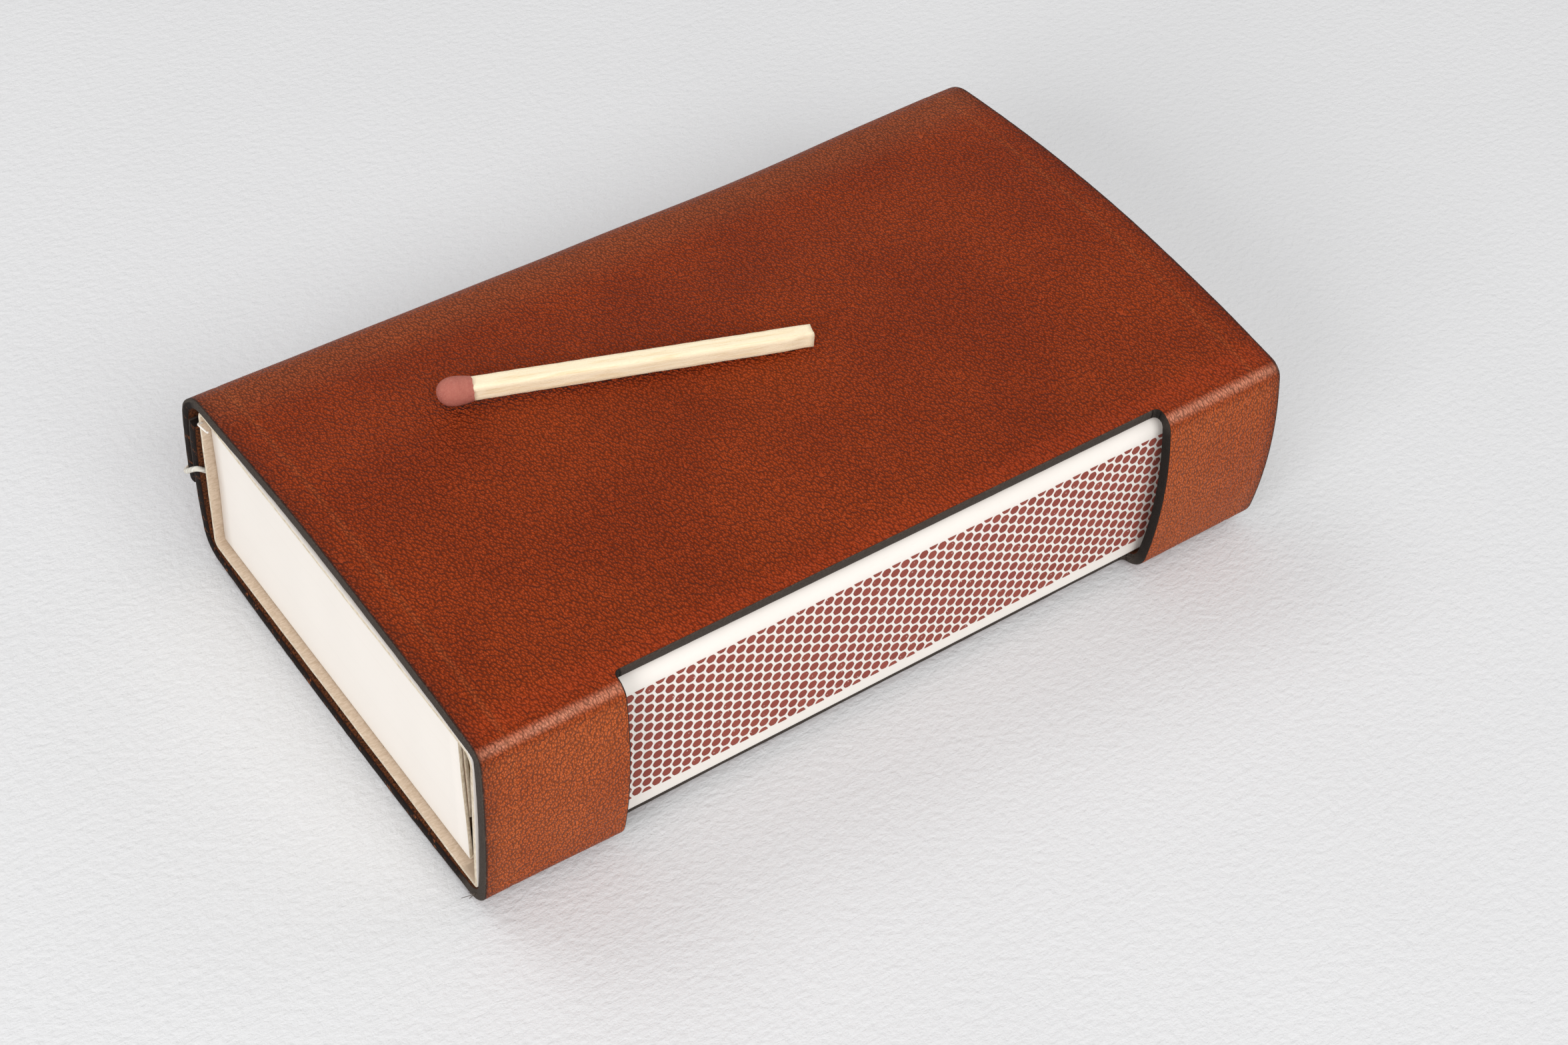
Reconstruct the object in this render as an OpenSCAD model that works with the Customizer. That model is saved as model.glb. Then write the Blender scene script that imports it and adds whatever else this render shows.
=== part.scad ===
/* [Card box] */
// Length of the card sleeve along X
box_length = 115.4; // [90:0.1:140]
// Width of the card sleeve, from striker to striker
box_width = 62; // [54:0.1:74]
// Height of the card sleeve
box_height = 22.6; // [21.6:0.1:30]
// Thickness of the card board
board = 0.5; // [0.3:0.05:0.7]
// Outer radius of the sleeve's folded corners
card_corner = 1.8; // [1:0.1:2.4]
// Height of the glued second ply inside the sleeve's front wall
glue_lap = 16; // [8:0.5:18]

/* [Tray] */
// How far each end of the tray lies inside the sleeve
tray_recess = 1.1; // [0.5:0.1:6]
// Running gap beside the tray and above it
tray_gap = 0.45; // [0.2:0.05:0.6]
// Gap between the tray and the floor of the sleeve
tray_rest_gap = 0.2; // [0.1:0.05:0.3]
// Depth of the lip folded down inside each tray end
end_lip = 14; // [6:0.5:17]

/* [Striker] */
// Height of each printed striking strip
striker_height = 18.1; // [10:0.1:18.4]
// Thickness of the striking coat
striker_coat = 0.1; // [0.05:0.01:0.2]

/* [Leather] */
// Thickness of the leather
leather = 1.5; // [1:0.1:2]
// Length of leather beyond each end of the card sleeve
cover_overhang = 0.3; // [0:0.1:3]
// Gap between the card box and the leather at the corners
cover_gap = 0.3; // [0.2:0.05:0.8]
// How far the front panel bulges at mid height
front_bulge = 1.5; // [0.8:0.1:2.5]
// How far the lapped back bulges at mid height
back_bulge = 1.3; // [0.8:0.1:2]
// How far the top panel rises at its crown
top_crown = 1.2; // [0.6:0.1:2]
// How far the underside bows down
belly = 1.1; // [0.6:0.1:2]
// Depth worn flat on the underside, where the cover rests
rest_flat = 0.2; // [0.1:0.05:0.3]
// Outer radius of the upper front fold
upper_front_fold = 2.3; // [2.2:0.1:3]
// Outer radius of the lower front fold
lower_front_fold = 3; // [2.2:0.1:3.4]
// Outer radius of the lower back fold
lower_back_fold = 3.5; // [2.2:0.1:3.6]
// Outer radius of the upper back fold, which wraps the inner flap
upper_back_fold = 5; // [3:0.1:5]

/* [Striker window] */
// Length of the window that bares the striker
window_length = 78.8; // [50:0.2:84]
// How far the window's cut edges lie behind the card's front face
window_set_back = 0.5; // [0.2:0.1:1]

/* [Back seam] */
// Drop of the outer flap's edge below mid height
flap_edge_drop = 3.6; // [1:0.1:6]
// Gap left for glue between the two flaps
flap_gap = 0.1; // [0.05:0.01:0.2]
// How far the inner flap ends below the upper back fold
flap_shy = 1; // [0.5:0.1:4]
// Distance of the stitch line from the outer flap's edge
stitch_inset = 1.7; // [1.2:0.1:3]
// Distance between stitch holes
stitch_pitch = 4; // [2.5:0.1:6]
// Distance from the first hole to the end of the cover
stitch_end = 3.2; // [2:0.1:6]
// Diameter of the waxed thread
thread = 0.6; // [0.4:0.05:0.8]
// Slack of the thread in its holes and off the leather
thread_slack = 0.06; // [0.03:0.01:0.1]

/* [Matches] */
// Length of a match with its head
match_length = 47; // [40:0.5:52]
// Width of the square match stick
stick = 2.25; // [1.8:0.05:2.25]
// Diameter of a match head
head_dia = 3.4; // [3.35:0.05:3.5]
// Length of a match head
head_length = 4.8; // [3.8:0.1:6]
// Length of head that covers the stick's tip
head_tip = 0.9; // [0.5:0.1:1.2]
// Gap between neighbouring heads
match_gap = 0.1; // [0.05:0.01:0.15]
// Gap between the matches and the front wall of the tray
tail_gap = 2.5; // [0.5:0.1:5]

/* [Loose match] */
// Place of the loose match's tail along the cover, from its middle
loose_tail_x = 9.8; // [-20:0.1:40]
// Place of the loose match's tail across the cover, from the card box's middle
loose_tail_y = 0.4; // [-12:0.1:14]
// Turn of the loose match away from the length of the cover
loose_turn = 17.9; // [0:0.1:30]
// Gap between the loose match and the leather
loose_gap = 0.12; // [0.05:0.01:0.3]

/* [Hidden] */

// Steps along each panel's shallow arc and along each fold
panel_steps = 12;
fold_steps = 6;
// Sides of a round piece
round_sides = 32;
// Extra length of a cut, so that it runs past the faces it opens
past = 4;

tan_leather = [0.60, 0.28, 0.13];
card_white = [0.93, 0.91, 0.88];
striker_red = [0.47, 0.27, 0.25];
thread_cream = [0.90, 0.86, 0.76];
stick_wood = [0.93, 0.85, 0.68];
head_pink = [0.66, 0.38, 0.34];

cover_length = box_length + 2 * cover_overhang;

// Corners of the section before its folds are rounded, from the card box's middle
front_y = -(box_width / 2 + cover_gap + leather);
back_y = -front_y;
flap_y = back_y + flap_gap + leather;
corner_z = box_height / 2 + cover_gap + leather;

// Radius of the arc that rises by "rise" over a chord
function bulge_radius(chord, rise) = (pow(chord / 2, 2) + pow(rise, 2)) / (2 * rise);

front_radius = bulge_radius(2 * corner_z, front_bulge);
back_radius = bulge_radius(2 * corner_z, back_bulge);
top_radius = bulge_radius(flap_y - front_y, top_crown);
belly_radius = bulge_radius(back_y - front_y, belly);
flap_radius = back_radius + flap_gap + leather;

front_centre = [front_y - front_bulge + front_radius, 0];
back_centre = [back_y + back_bulge - back_radius, 0];
top_centre = [(flap_y + front_y) / 2, corner_z + top_crown - top_radius];
belly_centre = [0, belly_radius - corner_z - belly];

// Height of the card box's middle above the surface the cover rests on
rest_height = corner_z + belly - rest_flat;
// Half the width of the flat that the cover rests on
rest_half = sqrt(pow(belly_radius, 2) - pow(belly_radius - rest_flat, 2));

// Centre of a fold of radius "fold" that runs smoothly into two panel arcs
function fold_centre(c1, r1, c2, r2, fold, corner) =
    let (
        a = r1 - fold,
        b = r2 - fold,
        gap = norm(c2 - c1),
        along = (a * a - b * b + gap * gap) / (2 * gap),
        side = sqrt(a * a - along * along),
        dir = (c2 - c1) / gap,
        left = c1 + along * dir + side * [-dir[1], dir[0]],
        right = c1 + along * dir - side * [-dir[1], dir[0]]
    )
    norm(left - corner) < norm(right - corner) ? left : right;

lower_back = fold_centre(back_centre, back_radius, belly_centre, belly_radius,
                         lower_back_fold, [back_y, -corner_z]);
lower_front = fold_centre(belly_centre, belly_radius, front_centre, front_radius,
                          lower_front_fold, [front_y, -corner_z]);
upper_front = fold_centre(front_centre, front_radius, top_centre, top_radius,
                          upper_front_fold, [front_y, corner_z]);
upper_back = fold_centre(top_centre, top_radius, back_centre, flap_radius,
                         upper_back_fold, [flap_y, corner_z]);

// Direction of point p seen from c, as the whole turn nearest to "about"
function heading(c, p, about) =
    let (a = atan2(p[1] - c[1], p[0] - c[0]))
    a + 360 * round((about - a) / 360);

function arc(c, r, from, to, steps) =
    [for (i = [0:steps]) let (a = from + (to - from) * i / steps) c + r * [cos(a), sin(a)]];

// Angles at which the flaps end, seen from the back panel's centre
flap_end = -asin(flap_edge_drop / flap_radius);
inner_end = heading(back_centre, upper_back, 0) - flap_shy / back_radius * 180 / PI;
// Angle of half the flat on the underside
rest_angle = asin(rest_half / belly_radius);

// The wrap seen from the left end, from the inner flap's edge down the back, under the box,
// up the front, over the top and down the back again, "inset" below the grain side
function wrap_start(inset) = concat(
    arc(back_centre, back_radius - inset, inner_end, heading(back_centre, lower_back, 0), panel_steps),
    arc(lower_back, lower_back_fold - inset, heading(back_centre, lower_back, -45),
        heading(belly_centre, lower_back, -45), fold_steps));
function wrap_middle(inset) = concat(
    arc(lower_front, lower_front_fold - inset, heading(belly_centre, lower_front, -135),
        heading(front_centre, lower_front, -135), fold_steps),
    arc(front_centre, front_radius - inset, heading(front_centre, lower_front, -180),
        heading(front_centre, upper_front, -180), panel_steps),
    arc(upper_front, upper_front_fold - inset, heading(front_centre, upper_front, -225),
        heading(top_centre, upper_front, -225), fold_steps),
    arc(top_centre, top_radius - inset, heading(top_centre, upper_front, -270),
        heading(top_centre, upper_back, -270), panel_steps),
    arc(upper_back, upper_back_fold - inset, heading(top_centre, upper_back, -315),
        heading(back_centre, upper_back, -315), fold_steps),
    arc(back_centre, flap_radius - inset, heading(back_centre, upper_back, -360),
        flap_end - 360, panel_steps));
// The underside: two shallow arcs outside, with the flat between them, and one arc inside
function underside(inset) = inset > 0
    ? arc(belly_centre, belly_radius - inset, heading(belly_centre, lower_back, -90),
          heading(belly_centre, lower_front, -90), panel_steps)
    : concat(
        arc(belly_centre, belly_radius, heading(belly_centre, lower_back, -90),
            rest_angle - 90, fold_steps),
        arc(belly_centre, belly_radius, -rest_angle - 90,
            heading(belly_centre, lower_front, -90), fold_steps));
function wrap(inset) = concat(wrap_start(inset), underside(inset), wrap_middle(inset));
function backwards(list) = [for (i = [len(list) - 1:-1:0]) list[i]];
// Leaves out a point that repeats the one before it
function no_repeats(list) =
    [for (i = [0:len(list) - 1]) if (i == 0 || norm(list[i] - list[i - 1]) > 0.001) list[i]];

stitch_angle = -asin((flap_edge_drop - stitch_inset) / flap_radius);
stitch_run = cover_length - 2 * stitch_end;
stitches = round(stitch_run / stitch_pitch);
stitch_step = stitch_run / stitches;
outer_stitch = flap_radius + thread_slack + thread / 2;
inner_stitch = back_radius - leather - thread_slack - thread / 2;
loop_x = cover_length / 2 + thread_slack + thread / 2;

// Reach of the whole object to the front and to the back, for an origin midway
front_reach = front_y - front_bulge;
back_reach = back_centre[0] + outer_stitch * cos(stitch_angle) + thread / 2;
middle_y = (front_reach + back_reach) / 2;

// Inside of the sleeve and outside of the tray
sleeve_in_y = box_width / 2 - board;
sleeve_in_z = box_height / 2 - board;
tray_front = -(sleeve_in_y - board - tray_gap);
tray_back = sleeve_in_y - tray_gap;
tray_low = -(sleeve_in_z - tray_rest_gap);
// Radius of the sleeve's corners inside, which the tray's lower folds follow
inner_corner = card_corner - board;
// The tray's upper edges stay under the sleeve's rounded corners
tray_high = sleeve_in_z - tray_gap - inner_corner * (1 - sqrt(0.5));
tray_length = box_length - 2 * tray_recess;
tray_in_length = tray_length - 4 * board;

match_pitch = head_dia + match_gap;
layer_rise = match_pitch * sqrt(3) / 2;
matches_long = floor(tray_in_length / match_pitch);
first_layer_z = tray_low + board + match_gap + head_dia / 2;
neck_dia = (head_dia + stick * sqrt(2)) / 2;
tail_y = tray_front + board + tail_gap;
// Layer and place of the match that was taken out
taken_layer = 5;
taken_match = 11;

// Height of the leather's top at a distance y from the card box's middle
function top_z(y) = top_centre[1] + sqrt(pow(top_radius, 2) - pow(y - top_centre[0], 2));
loose_head_y = loose_tail_y + (match_length - head_length / 2) * sin(loose_turn);
loose_tail_z = top_z(loose_tail_y) + loose_gap + stick / 2;
loose_head_z = top_z(loose_head_y) + loose_gap + head_dia / 2;
loose_tilt = asin((loose_head_z - loose_tail_z) / (match_length - head_length / 2));

// Puts a piece drawn about the card box's middle into the object's own frame
module seated() {
    translate([0, -middle_y, rest_height]) children();
}

// Extrudes a section drawn in Y and Z along X
module along_x(length) {
    rotate([90, 0, 90]) linear_extrude(height = length, center = true) children();
}

// Turns a piece so that its Y axis leaves the back through the stitch line
module at_stitch_line() {
    translate([0, back_centre[0], back_centre[1]]) rotate([stitch_angle, 0, 0]) children();
}

module bar_x(from, to, dia) {
    translate([from, 0, 0]) rotate([0, 90, 0]) cylinder(h = to - from, d = dia, $fn = round_sides);
}

module bar_y(from, to, dia) {
    translate([0, from, 0]) rotate([-90, 0, 0]) cylinder(h = to - from, d = dia, $fn = round_sides);
}

module at_holes() {
    for (i = [0:stitches]) translate([-stitch_run / 2 + i * stitch_step, 0, 0]) children();
}

module leather_cover() {
    color(tan_leather) seated() difference() {
        along_x(cover_length)
            polygon(no_repeats(concat(wrap(0), backwards(wrap(leather)))));
        translate([-window_length / 2, front_reach - past, -corner_z - belly - past])
            cube([window_length, -box_width / 2 + window_set_back - front_reach + past,
                  2 * (corner_z + past) + belly + top_crown]);
        at_stitch_line() at_holes()
            bar_y(inner_stitch, outer_stitch, thread + 2 * thread_slack);
    }
}

// One thread: a run of stitches outside and inside, its passes through the holes, and a loop
// round each end of the cover
module seam_thread() {
    color(thread_cream) seated() at_stitch_line() union() {
        for (depth = [inner_stitch, outer_stitch])
            translate([0, depth, 0]) bar_x(-loop_x, loop_x, thread);
        at_holes() bar_y(inner_stitch, outer_stitch, thread);
        for (end = [-1, 1]) translate([end * loop_x, 0, 0]) {
            bar_y(inner_stitch, outer_stitch, thread);
            for (depth = [inner_stitch, outer_stitch])
                translate([0, depth, 0]) sphere(d = thread, $fn = round_sides);
        }
    }
}

module rounded_section(width, height, corner) {
    square([width - 2 * corner, height], center = true);
    square([width, height - 2 * corner], center = true);
    for (y = [-1, 1], z = [-1, 1])
        translate([y * (width / 2 - corner), z * (height / 2 - corner)])
            circle(r = corner, $fn = round_sides);
}

module box_sleeve() {
    color(card_white) seated() along_x(box_length) {
        difference() {
            rounded_section(box_width, box_height, card_corner);
            rounded_section(2 * sleeve_in_y, 2 * sleeve_in_z, inner_corner);
        }
        translate([-sleeve_in_y, -glue_lap / 2]) square([board, glue_lap]);
    }
}

module striker(side) {
    color(striker_red) seated()
        translate([-box_length / 2, side * (box_width / 2 + striker_coat / 2) - striker_coat / 2,
                   -striker_height / 2])
            cube([box_length, striker_coat, striker_height]);
}

module front_striker() {
    striker(-1);
}

module rear_striker() {
    striker(1);
}

// The tray's section, "inset" within its outside, mirrored about its upper edge
module tray_section(inset) {
    translate([(tray_front + tray_back) / 2, tray_high])
        rounded_section(tray_back - tray_front - 2 * inset, 2 * (tray_high - tray_low - inset),
                        inner_corner - inset);
}

module tray() {
    color(card_white) seated() {
        difference() {
            along_x(tray_length) tray_section(0);
            along_x(tray_length - 2 * board) tray_section(board);
            translate([-tray_length / 2 - past, tray_front - past, tray_high])
                cube([tray_length + 2 * past, tray_back - tray_front + 2 * past,
                      tray_high - tray_low + past]);
        }
        // The lip of each end wall, folded down against its inside
        for (end = [-1, 1])
            translate([end * (tray_length / 2 - board * 1.5) - board / 2, tray_front + board,
                       tray_high - end_lip])
                cube([board, tray_back - tray_front - 2 * board, end_lip]);
    }
}

// A match stick along X, its tail at the origin
module match_stick() {
    translate([0, -stick / 2, -stick / 2]) cube([match_length - head_tip, stick, stick]);
}

// The head of that match, dipped over the stick's tip
module match_head() {
    head_start = match_length - head_length;
    head_middle = match_length - head_dia / 2;
    difference() {
        union() {
            translate([head_start, 0, 0]) rotate([0, 90, 0])
                cylinder(h = head_middle - head_start, d1 = neck_dia, d2 = head_dia,
                         $fn = round_sides);
            translate([head_middle, 0, 0]) sphere(d = head_dia, $fn = round_sides);
        }
        translate([head_start - past, -stick / 2, -stick / 2])
            cube([head_length + past - head_tip, stick, stick]);
    }
}

// Places of one layer's matches: they lie across the tray, and each layer's heads settle in
// the hollows between the heads below
module match_layer(layer) {
    shift = layer % 2 == 0 ? match_pitch / 2 : 0;
    count = layer % 2 == 0 ? matches_long - 1 : matches_long;
    for (i = [0:count - 1])
        if (layer != taken_layer || i != taken_match)
            translate([-matches_long * match_pitch / 2 + match_pitch / 2 + shift + i * match_pitch,
                       tail_y, first_layer_z + (layer - 1) * layer_rise])
                rotate([0, 0, 90]) children();
}

module match_sticks(layer) {
    color(stick_wood) seated() match_layer(layer) match_stick();
}

module match_heads(layer) {
    color(head_pink) seated() match_layer(layer) match_head();
}

module at_loose_match() {
    seated() translate([loose_tail_x, loose_tail_y, loose_tail_z])
        rotate([0, 0, 180 - loose_turn]) rotate([0, -loose_tilt, 0]) children();
}

module loose_match_stick() {
    color(stick_wood) at_loose_match() match_stick();
}

module loose_match_head() {
    color(head_pink) at_loose_match() match_head();
}

leather_cover();
seam_thread();
box_sleeve();
front_striker();
rear_striker();
tray();
match_sticks(1);  // match_sticks_1
match_sticks(2);  // match_sticks_2
match_sticks(3);  // match_sticks_3
match_sticks(4);  // match_sticks_4
match_sticks(5);  // match_sticks_5
match_heads(1);  // match_heads_1
match_heads(2);  // match_heads_2
match_heads(3);  // match_heads_3
match_heads(4);  // match_heads_4
match_heads(5);  // match_heads_5
loose_match_stick();
loose_match_head();
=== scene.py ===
"""A leather sleeve stitched round a household matchbox, with a loose match on top."""

import math
import random

import bmesh
import bpy
import numpy as np
from mathutils import Matrix, Vector


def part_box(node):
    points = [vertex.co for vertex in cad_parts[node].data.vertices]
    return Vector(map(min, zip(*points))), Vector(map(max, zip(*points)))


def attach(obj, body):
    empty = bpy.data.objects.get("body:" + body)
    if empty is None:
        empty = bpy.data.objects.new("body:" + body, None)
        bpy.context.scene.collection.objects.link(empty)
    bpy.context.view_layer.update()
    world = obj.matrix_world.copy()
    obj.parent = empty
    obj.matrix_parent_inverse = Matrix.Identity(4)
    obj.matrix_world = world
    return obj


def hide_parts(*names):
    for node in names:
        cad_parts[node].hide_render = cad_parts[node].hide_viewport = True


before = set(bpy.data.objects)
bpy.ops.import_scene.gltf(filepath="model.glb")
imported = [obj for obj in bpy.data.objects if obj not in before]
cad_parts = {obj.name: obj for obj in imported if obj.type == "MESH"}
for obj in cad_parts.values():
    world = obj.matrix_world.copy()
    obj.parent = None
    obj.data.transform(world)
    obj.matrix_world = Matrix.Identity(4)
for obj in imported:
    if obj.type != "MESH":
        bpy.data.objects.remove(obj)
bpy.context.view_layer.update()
SCENE = bpy.context.scene
MM = 0.001


# Camera

# The photograph's viewpoint, from the middle of the holder's footprint, in mm and degrees
CAMERA_PLACE = (-149.6, -185.7, 250.8)
CAMERA_TURN = -40.43
CAMERA_HEIGHT = 46.2
CAMERA_ROLL = 6.37
CAMERA_LENS = 61.94


def make_camera():
    data = bpy.data.cameras.new("camera")
    data.lens = CAMERA_LENS
    data.sensor_width = 36
    data.clip_start = 0.01
    camera = bpy.data.objects.new("camera", data)
    SCENE.collection.objects.link(camera)
    turn, height = math.radians(CAMERA_TURN), math.radians(CAMERA_HEIGHT)
    back = Vector((math.sin(turn) * math.cos(height), -math.cos(turn) * math.cos(height),
                   math.sin(height)))
    right = (-back).cross(Vector((0, 0, 1))).normalized()
    up = right.cross(-back)
    roll = math.radians(CAMERA_ROLL)
    across = math.cos(roll) * right + math.sin(roll) * up
    upright = math.cos(roll) * up - math.sin(roll) * right
    matrix = Matrix((across, upright, back)).transposed().to_4x4()
    matrix.translation = Vector(CAMERA_PLACE) * MM
    camera.matrix_world = matrix
    SCENE.camera = camera


make_camera()


# Node trees

class Value:
    """A socket on which plain arithmetic adds Math nodes."""

    def __init__(self, graph, socket):
        self.graph = graph
        self.socket = socket

    def math(self, operation, *others, clamp=False):
        made = self.graph.add("ShaderNodeMath", {"operation": operation, "use_clamp": clamp},
                              {i + 1: other for i, other in enumerate(others)} | {0: self})
        return made["Value"]

    def from_left(self, operation, other):
        made = self.graph.add("ShaderNodeMath", {"operation": operation}, {0: other, 1: self})
        return made["Value"]

    def __add__(self, other):
        return self.math("ADD", other)

    __radd__ = __add__

    def __sub__(self, other):
        return self.math("SUBTRACT", other)

    def __rsub__(self, other):
        return self.from_left("SUBTRACT", other)

    def __mul__(self, other):
        return self.math("MULTIPLY", other)

    __rmul__ = __mul__

    def __truediv__(self, other):
        return self.math("DIVIDE", other)

    def __rtruediv__(self, other):
        return self.from_left("DIVIDE", other)

    def __abs__(self):
        return self.math("ABSOLUTE")

    def clamped(self):
        return self.math("ADD", 0.0, clamp=True)

    def between(self, low, high):
        """0 below low, 1 above high, and a smooth rise from one to the other."""
        made = self.graph.add("ShaderNodeMapRange", {"interpolation_type": "SMOOTHSTEP"},
                              {"Value": self, "From Min": low, "From Max": high})
        return made["Result"]


class Made:
    """A node that has been added, whose outputs are read by name."""

    def __init__(self, graph, node):
        self.graph = graph
        self.node = node

    def __getitem__(self, name):
        return Value(self.graph, pick(self.node.outputs, name))


def pick(sockets, name):
    """The socket of that identifier, name or place."""
    if isinstance(name, int):
        return sockets[name]
    for socket in sockets:
        if socket.identifier == name:
            return socket
    return next(socket for socket in sockets if socket.name == name and socket.enabled)


class Graph:
    """A node tree to which nodes are added with their settings and inputs."""

    def __init__(self, tree):
        self.tree = tree

    def add(self, kind, settings=None, inputs=None):
        node = self.tree.nodes.new(kind)
        for name, setting in (settings or {}).items():
            setattr(node, name, setting)
        for name, value in (inputs or {}).items():
            self.feed(pick(node.inputs, name), value)
        return Made(self, node)

    def feed(self, socket, value):
        if isinstance(value, Value):
            self.tree.links.new(value.socket, socket)
        elif isinstance(value, tuple) and socket.type == "RGBA" and len(value) == 3:
            socket.default_value = (*value, 1.0)
        else:
            socket.default_value = value

    def blend(self, factor, first, second):
        """A colour between first and second."""
        made = self.add("ShaderNodeMix", {"data_type": "RGBA"},
                        {"Factor_Float": factor, "A_Color": first, "B_Color": second})
        return made["Result_Color"]

    def vector(self, operation, *inputs):
        made = self.add("ShaderNodeVectorMath", {"operation": operation},
                        dict(enumerate(inputs)))
        return made["Vector"]

    def attribute(self, name, output="Fac"):
        return self.add("ShaderNodeAttribute", {"attribute_name": name})[output]

    def noise(self, place, scale, detail=2.0, rough=0.5, distortion=0.0):
        made = self.add("ShaderNodeTexNoise", {"noise_dimensions": "3D"},
                        {"Vector": place, "Scale": scale, "Detail": detail,
                         "Roughness": rough, "Distortion": distortion})
        return made["Fac"]

    def cells(self, place, scale):
        """Distance to the nearest of a field of scattered points."""
        made = self.add("ShaderNodeTexVoronoi", {"feature": "F1"},
                        {"Vector": place, "Scale": scale})
        return made["Distance"]

    def split(self, vector):
        """A vector whose parts are read as X, Y and Z."""
        return self.add("ShaderNodeSeparateXYZ", None, {"Vector": vector})

    def joined(self, **parts):
        """A vector of the parts X, Y and Z, where a part that isn't given is 0."""
        return self.add("ShaderNodeCombineXYZ", None, parts)["Vector"]


def linear(red, green, blue):
    """Linear light from the 0 to 255 screen colour of a finish."""
    def one(level):
        level /= 255
        return level / 12.92 if level <= 0.04045 else ((level + 0.055) / 1.055) ** 2.4
    return one(red), one(green), one(blue)


def new_material(name, paint, **constants):
    """A material whose paint(graph) returns what feeds the shader's linked sockets."""
    material = bpy.data.materials.new(name)
    material.use_nodes = True
    graph = Graph(material.node_tree)
    shader = material.node_tree.nodes["Principled BSDF"]
    for socket, value in constants.items():
        shader.inputs[socket.replace("_", " ")].default_value = value
    for socket, value in paint(graph).items():
        graph.feed(shader.inputs[socket], value)
    return material


def bump(graph, height, depth):
    """A Normal for relief whose height of 1 stands depth metres proud."""
    return graph.add("ShaderNodeBump", None,
                     {"Strength": 1.0, "Distance": depth, "Height": height})["Normal"]


def object_mm(graph):
    """Object coordinates in millimetres."""
    place = graph.add("ShaderNodeTexCoord")["Object"]
    return graph.vector("MULTIPLY", place, (1000.0, 1000.0, 1000.0))


# Sizes in mm, from the middle of the card box, taken from the frame where it holds them

def frame_box(node):
    low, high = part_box(node)
    return low / MM, high / MM


box_low, box_high = frame_box("box_sleeve")
cover_low, cover_high = frame_box("leather_cover")
tray_low, tray_high = frame_box("tray")
strip_low, strip_high = frame_box("front_striker")
MIDDLE = (box_low + box_high) / 2
BOX = box_high - box_low
COVER_LENGTH = cover_high.x - cover_low.x
# Thickness of the leather and the card, and the slack round the card and under the flap
LEATHER = 1.5
BOARD = 0.5
COVER_GAP = 0.3
FLAP_GAP = 0.1
# How far each panel of the leather bows out
FRONT_BULGE = 1.5
BACK_BULGE = 1.3
TOP_CROWN = 1.2
BELLY = 1.1
# Outer radii of its folds
UPPER_FRONT_FOLD = 2.3
LOWER_FRONT_FOLD = 3.8
LOWER_BACK_FOLD = 3.5
UPPER_BACK_FOLD = 5.0
# Where the outer flap ends below the middle of the back, and the inner flap below its fold
FLAP_EDGE_DROP = 3.6
FLAP_SHY = 1.0
# The window's length, and how far its upper and lower edges lie behind the card's front
WINDOW_LENGTH = 78.8
WINDOW_SET_BACK = 0.5
WINDOW_LOW_SET_BACK = 1.1
# The seam's distance from the flap's edge, its rough pitch and its distance from each end
STITCH_INSET = 1.7
STITCH_PITCH = 4.0
STITCH_END = 3.2
STITCHES = round((COVER_LENGTH - 2 * STITCH_END) / STITCH_PITCH)
STITCH_STEP = (COVER_LENGTH - 2 * STITCH_END) / STITCHES
# The thread's thickness, and the plies it is laid from
THREAD = 0.6
PLIES = 2

# The whole holder leans back a little, as soft leather does, and its upper back edge sags
LEAN = 0.036
SAG = 0.55
SAG_AT_FOLD = 0.35
# Where the sag sets in and is full: upwards, backwards on the top, and at the fold
SAG_UPWARDS = (7.0, 12.5)
SAG_BACKWARDS = (6.0, 28.0)
SAG_FOLD_DOWN = (29.0, 34.0)
SAG_FOLD_IN = (30.0, 34.5)
# It is full on the left and fades out between these places along the cover
SAG_FADE = (15.0, 56.0)


def rise(value, low, high):
    """0 below low, 1 above high, and a smooth rise from one to the other."""
    share = np.clip((value - low) / (high - low), 0.0, 1.0)
    return share * share * (3 - 2 * share)


def settled(points):
    """Frame places in metres of points about the card box's middle in mm."""
    points = np.asarray(points, float).reshape(-1, 3)
    spots = points + np.array(MIDDLE)
    spots[:, 1] += LEAN * points[:, 2]
    return spots * MM


def sagged(points):
    """Points of the cover in mm with its upper back edge drawn down and in."""
    points = np.array(points, float).reshape(-1, 3)
    x, y, z = points.T
    drawn = rise(z, *SAG_UPWARDS) * (1 - rise(x, *SAG_FADE))
    down = SAG * rise(y, *SAG_BACKWARDS) + SAG_AT_FOLD * rise(y, *SAG_FOLD_DOWN)
    inward = SAG_AT_FOLD * rise(y, *SAG_FOLD_IN)
    return points - np.stack([0 * x, inward * drawn, down * drawn], 1)


# The leather's section: shallow panel arcs joined by folds

FRONT_Y = -(BOX.y / 2 + COVER_GAP + LEATHER)
BACK_Y = -FRONT_Y
FLAP_Y = BACK_Y + FLAP_GAP + LEATHER
CORNER_Z = BOX.z / 2 + COVER_GAP + LEATHER


def bulge_radius(chord, height):
    return ((chord / 2) ** 2 + height ** 2) / (2 * height)


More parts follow.
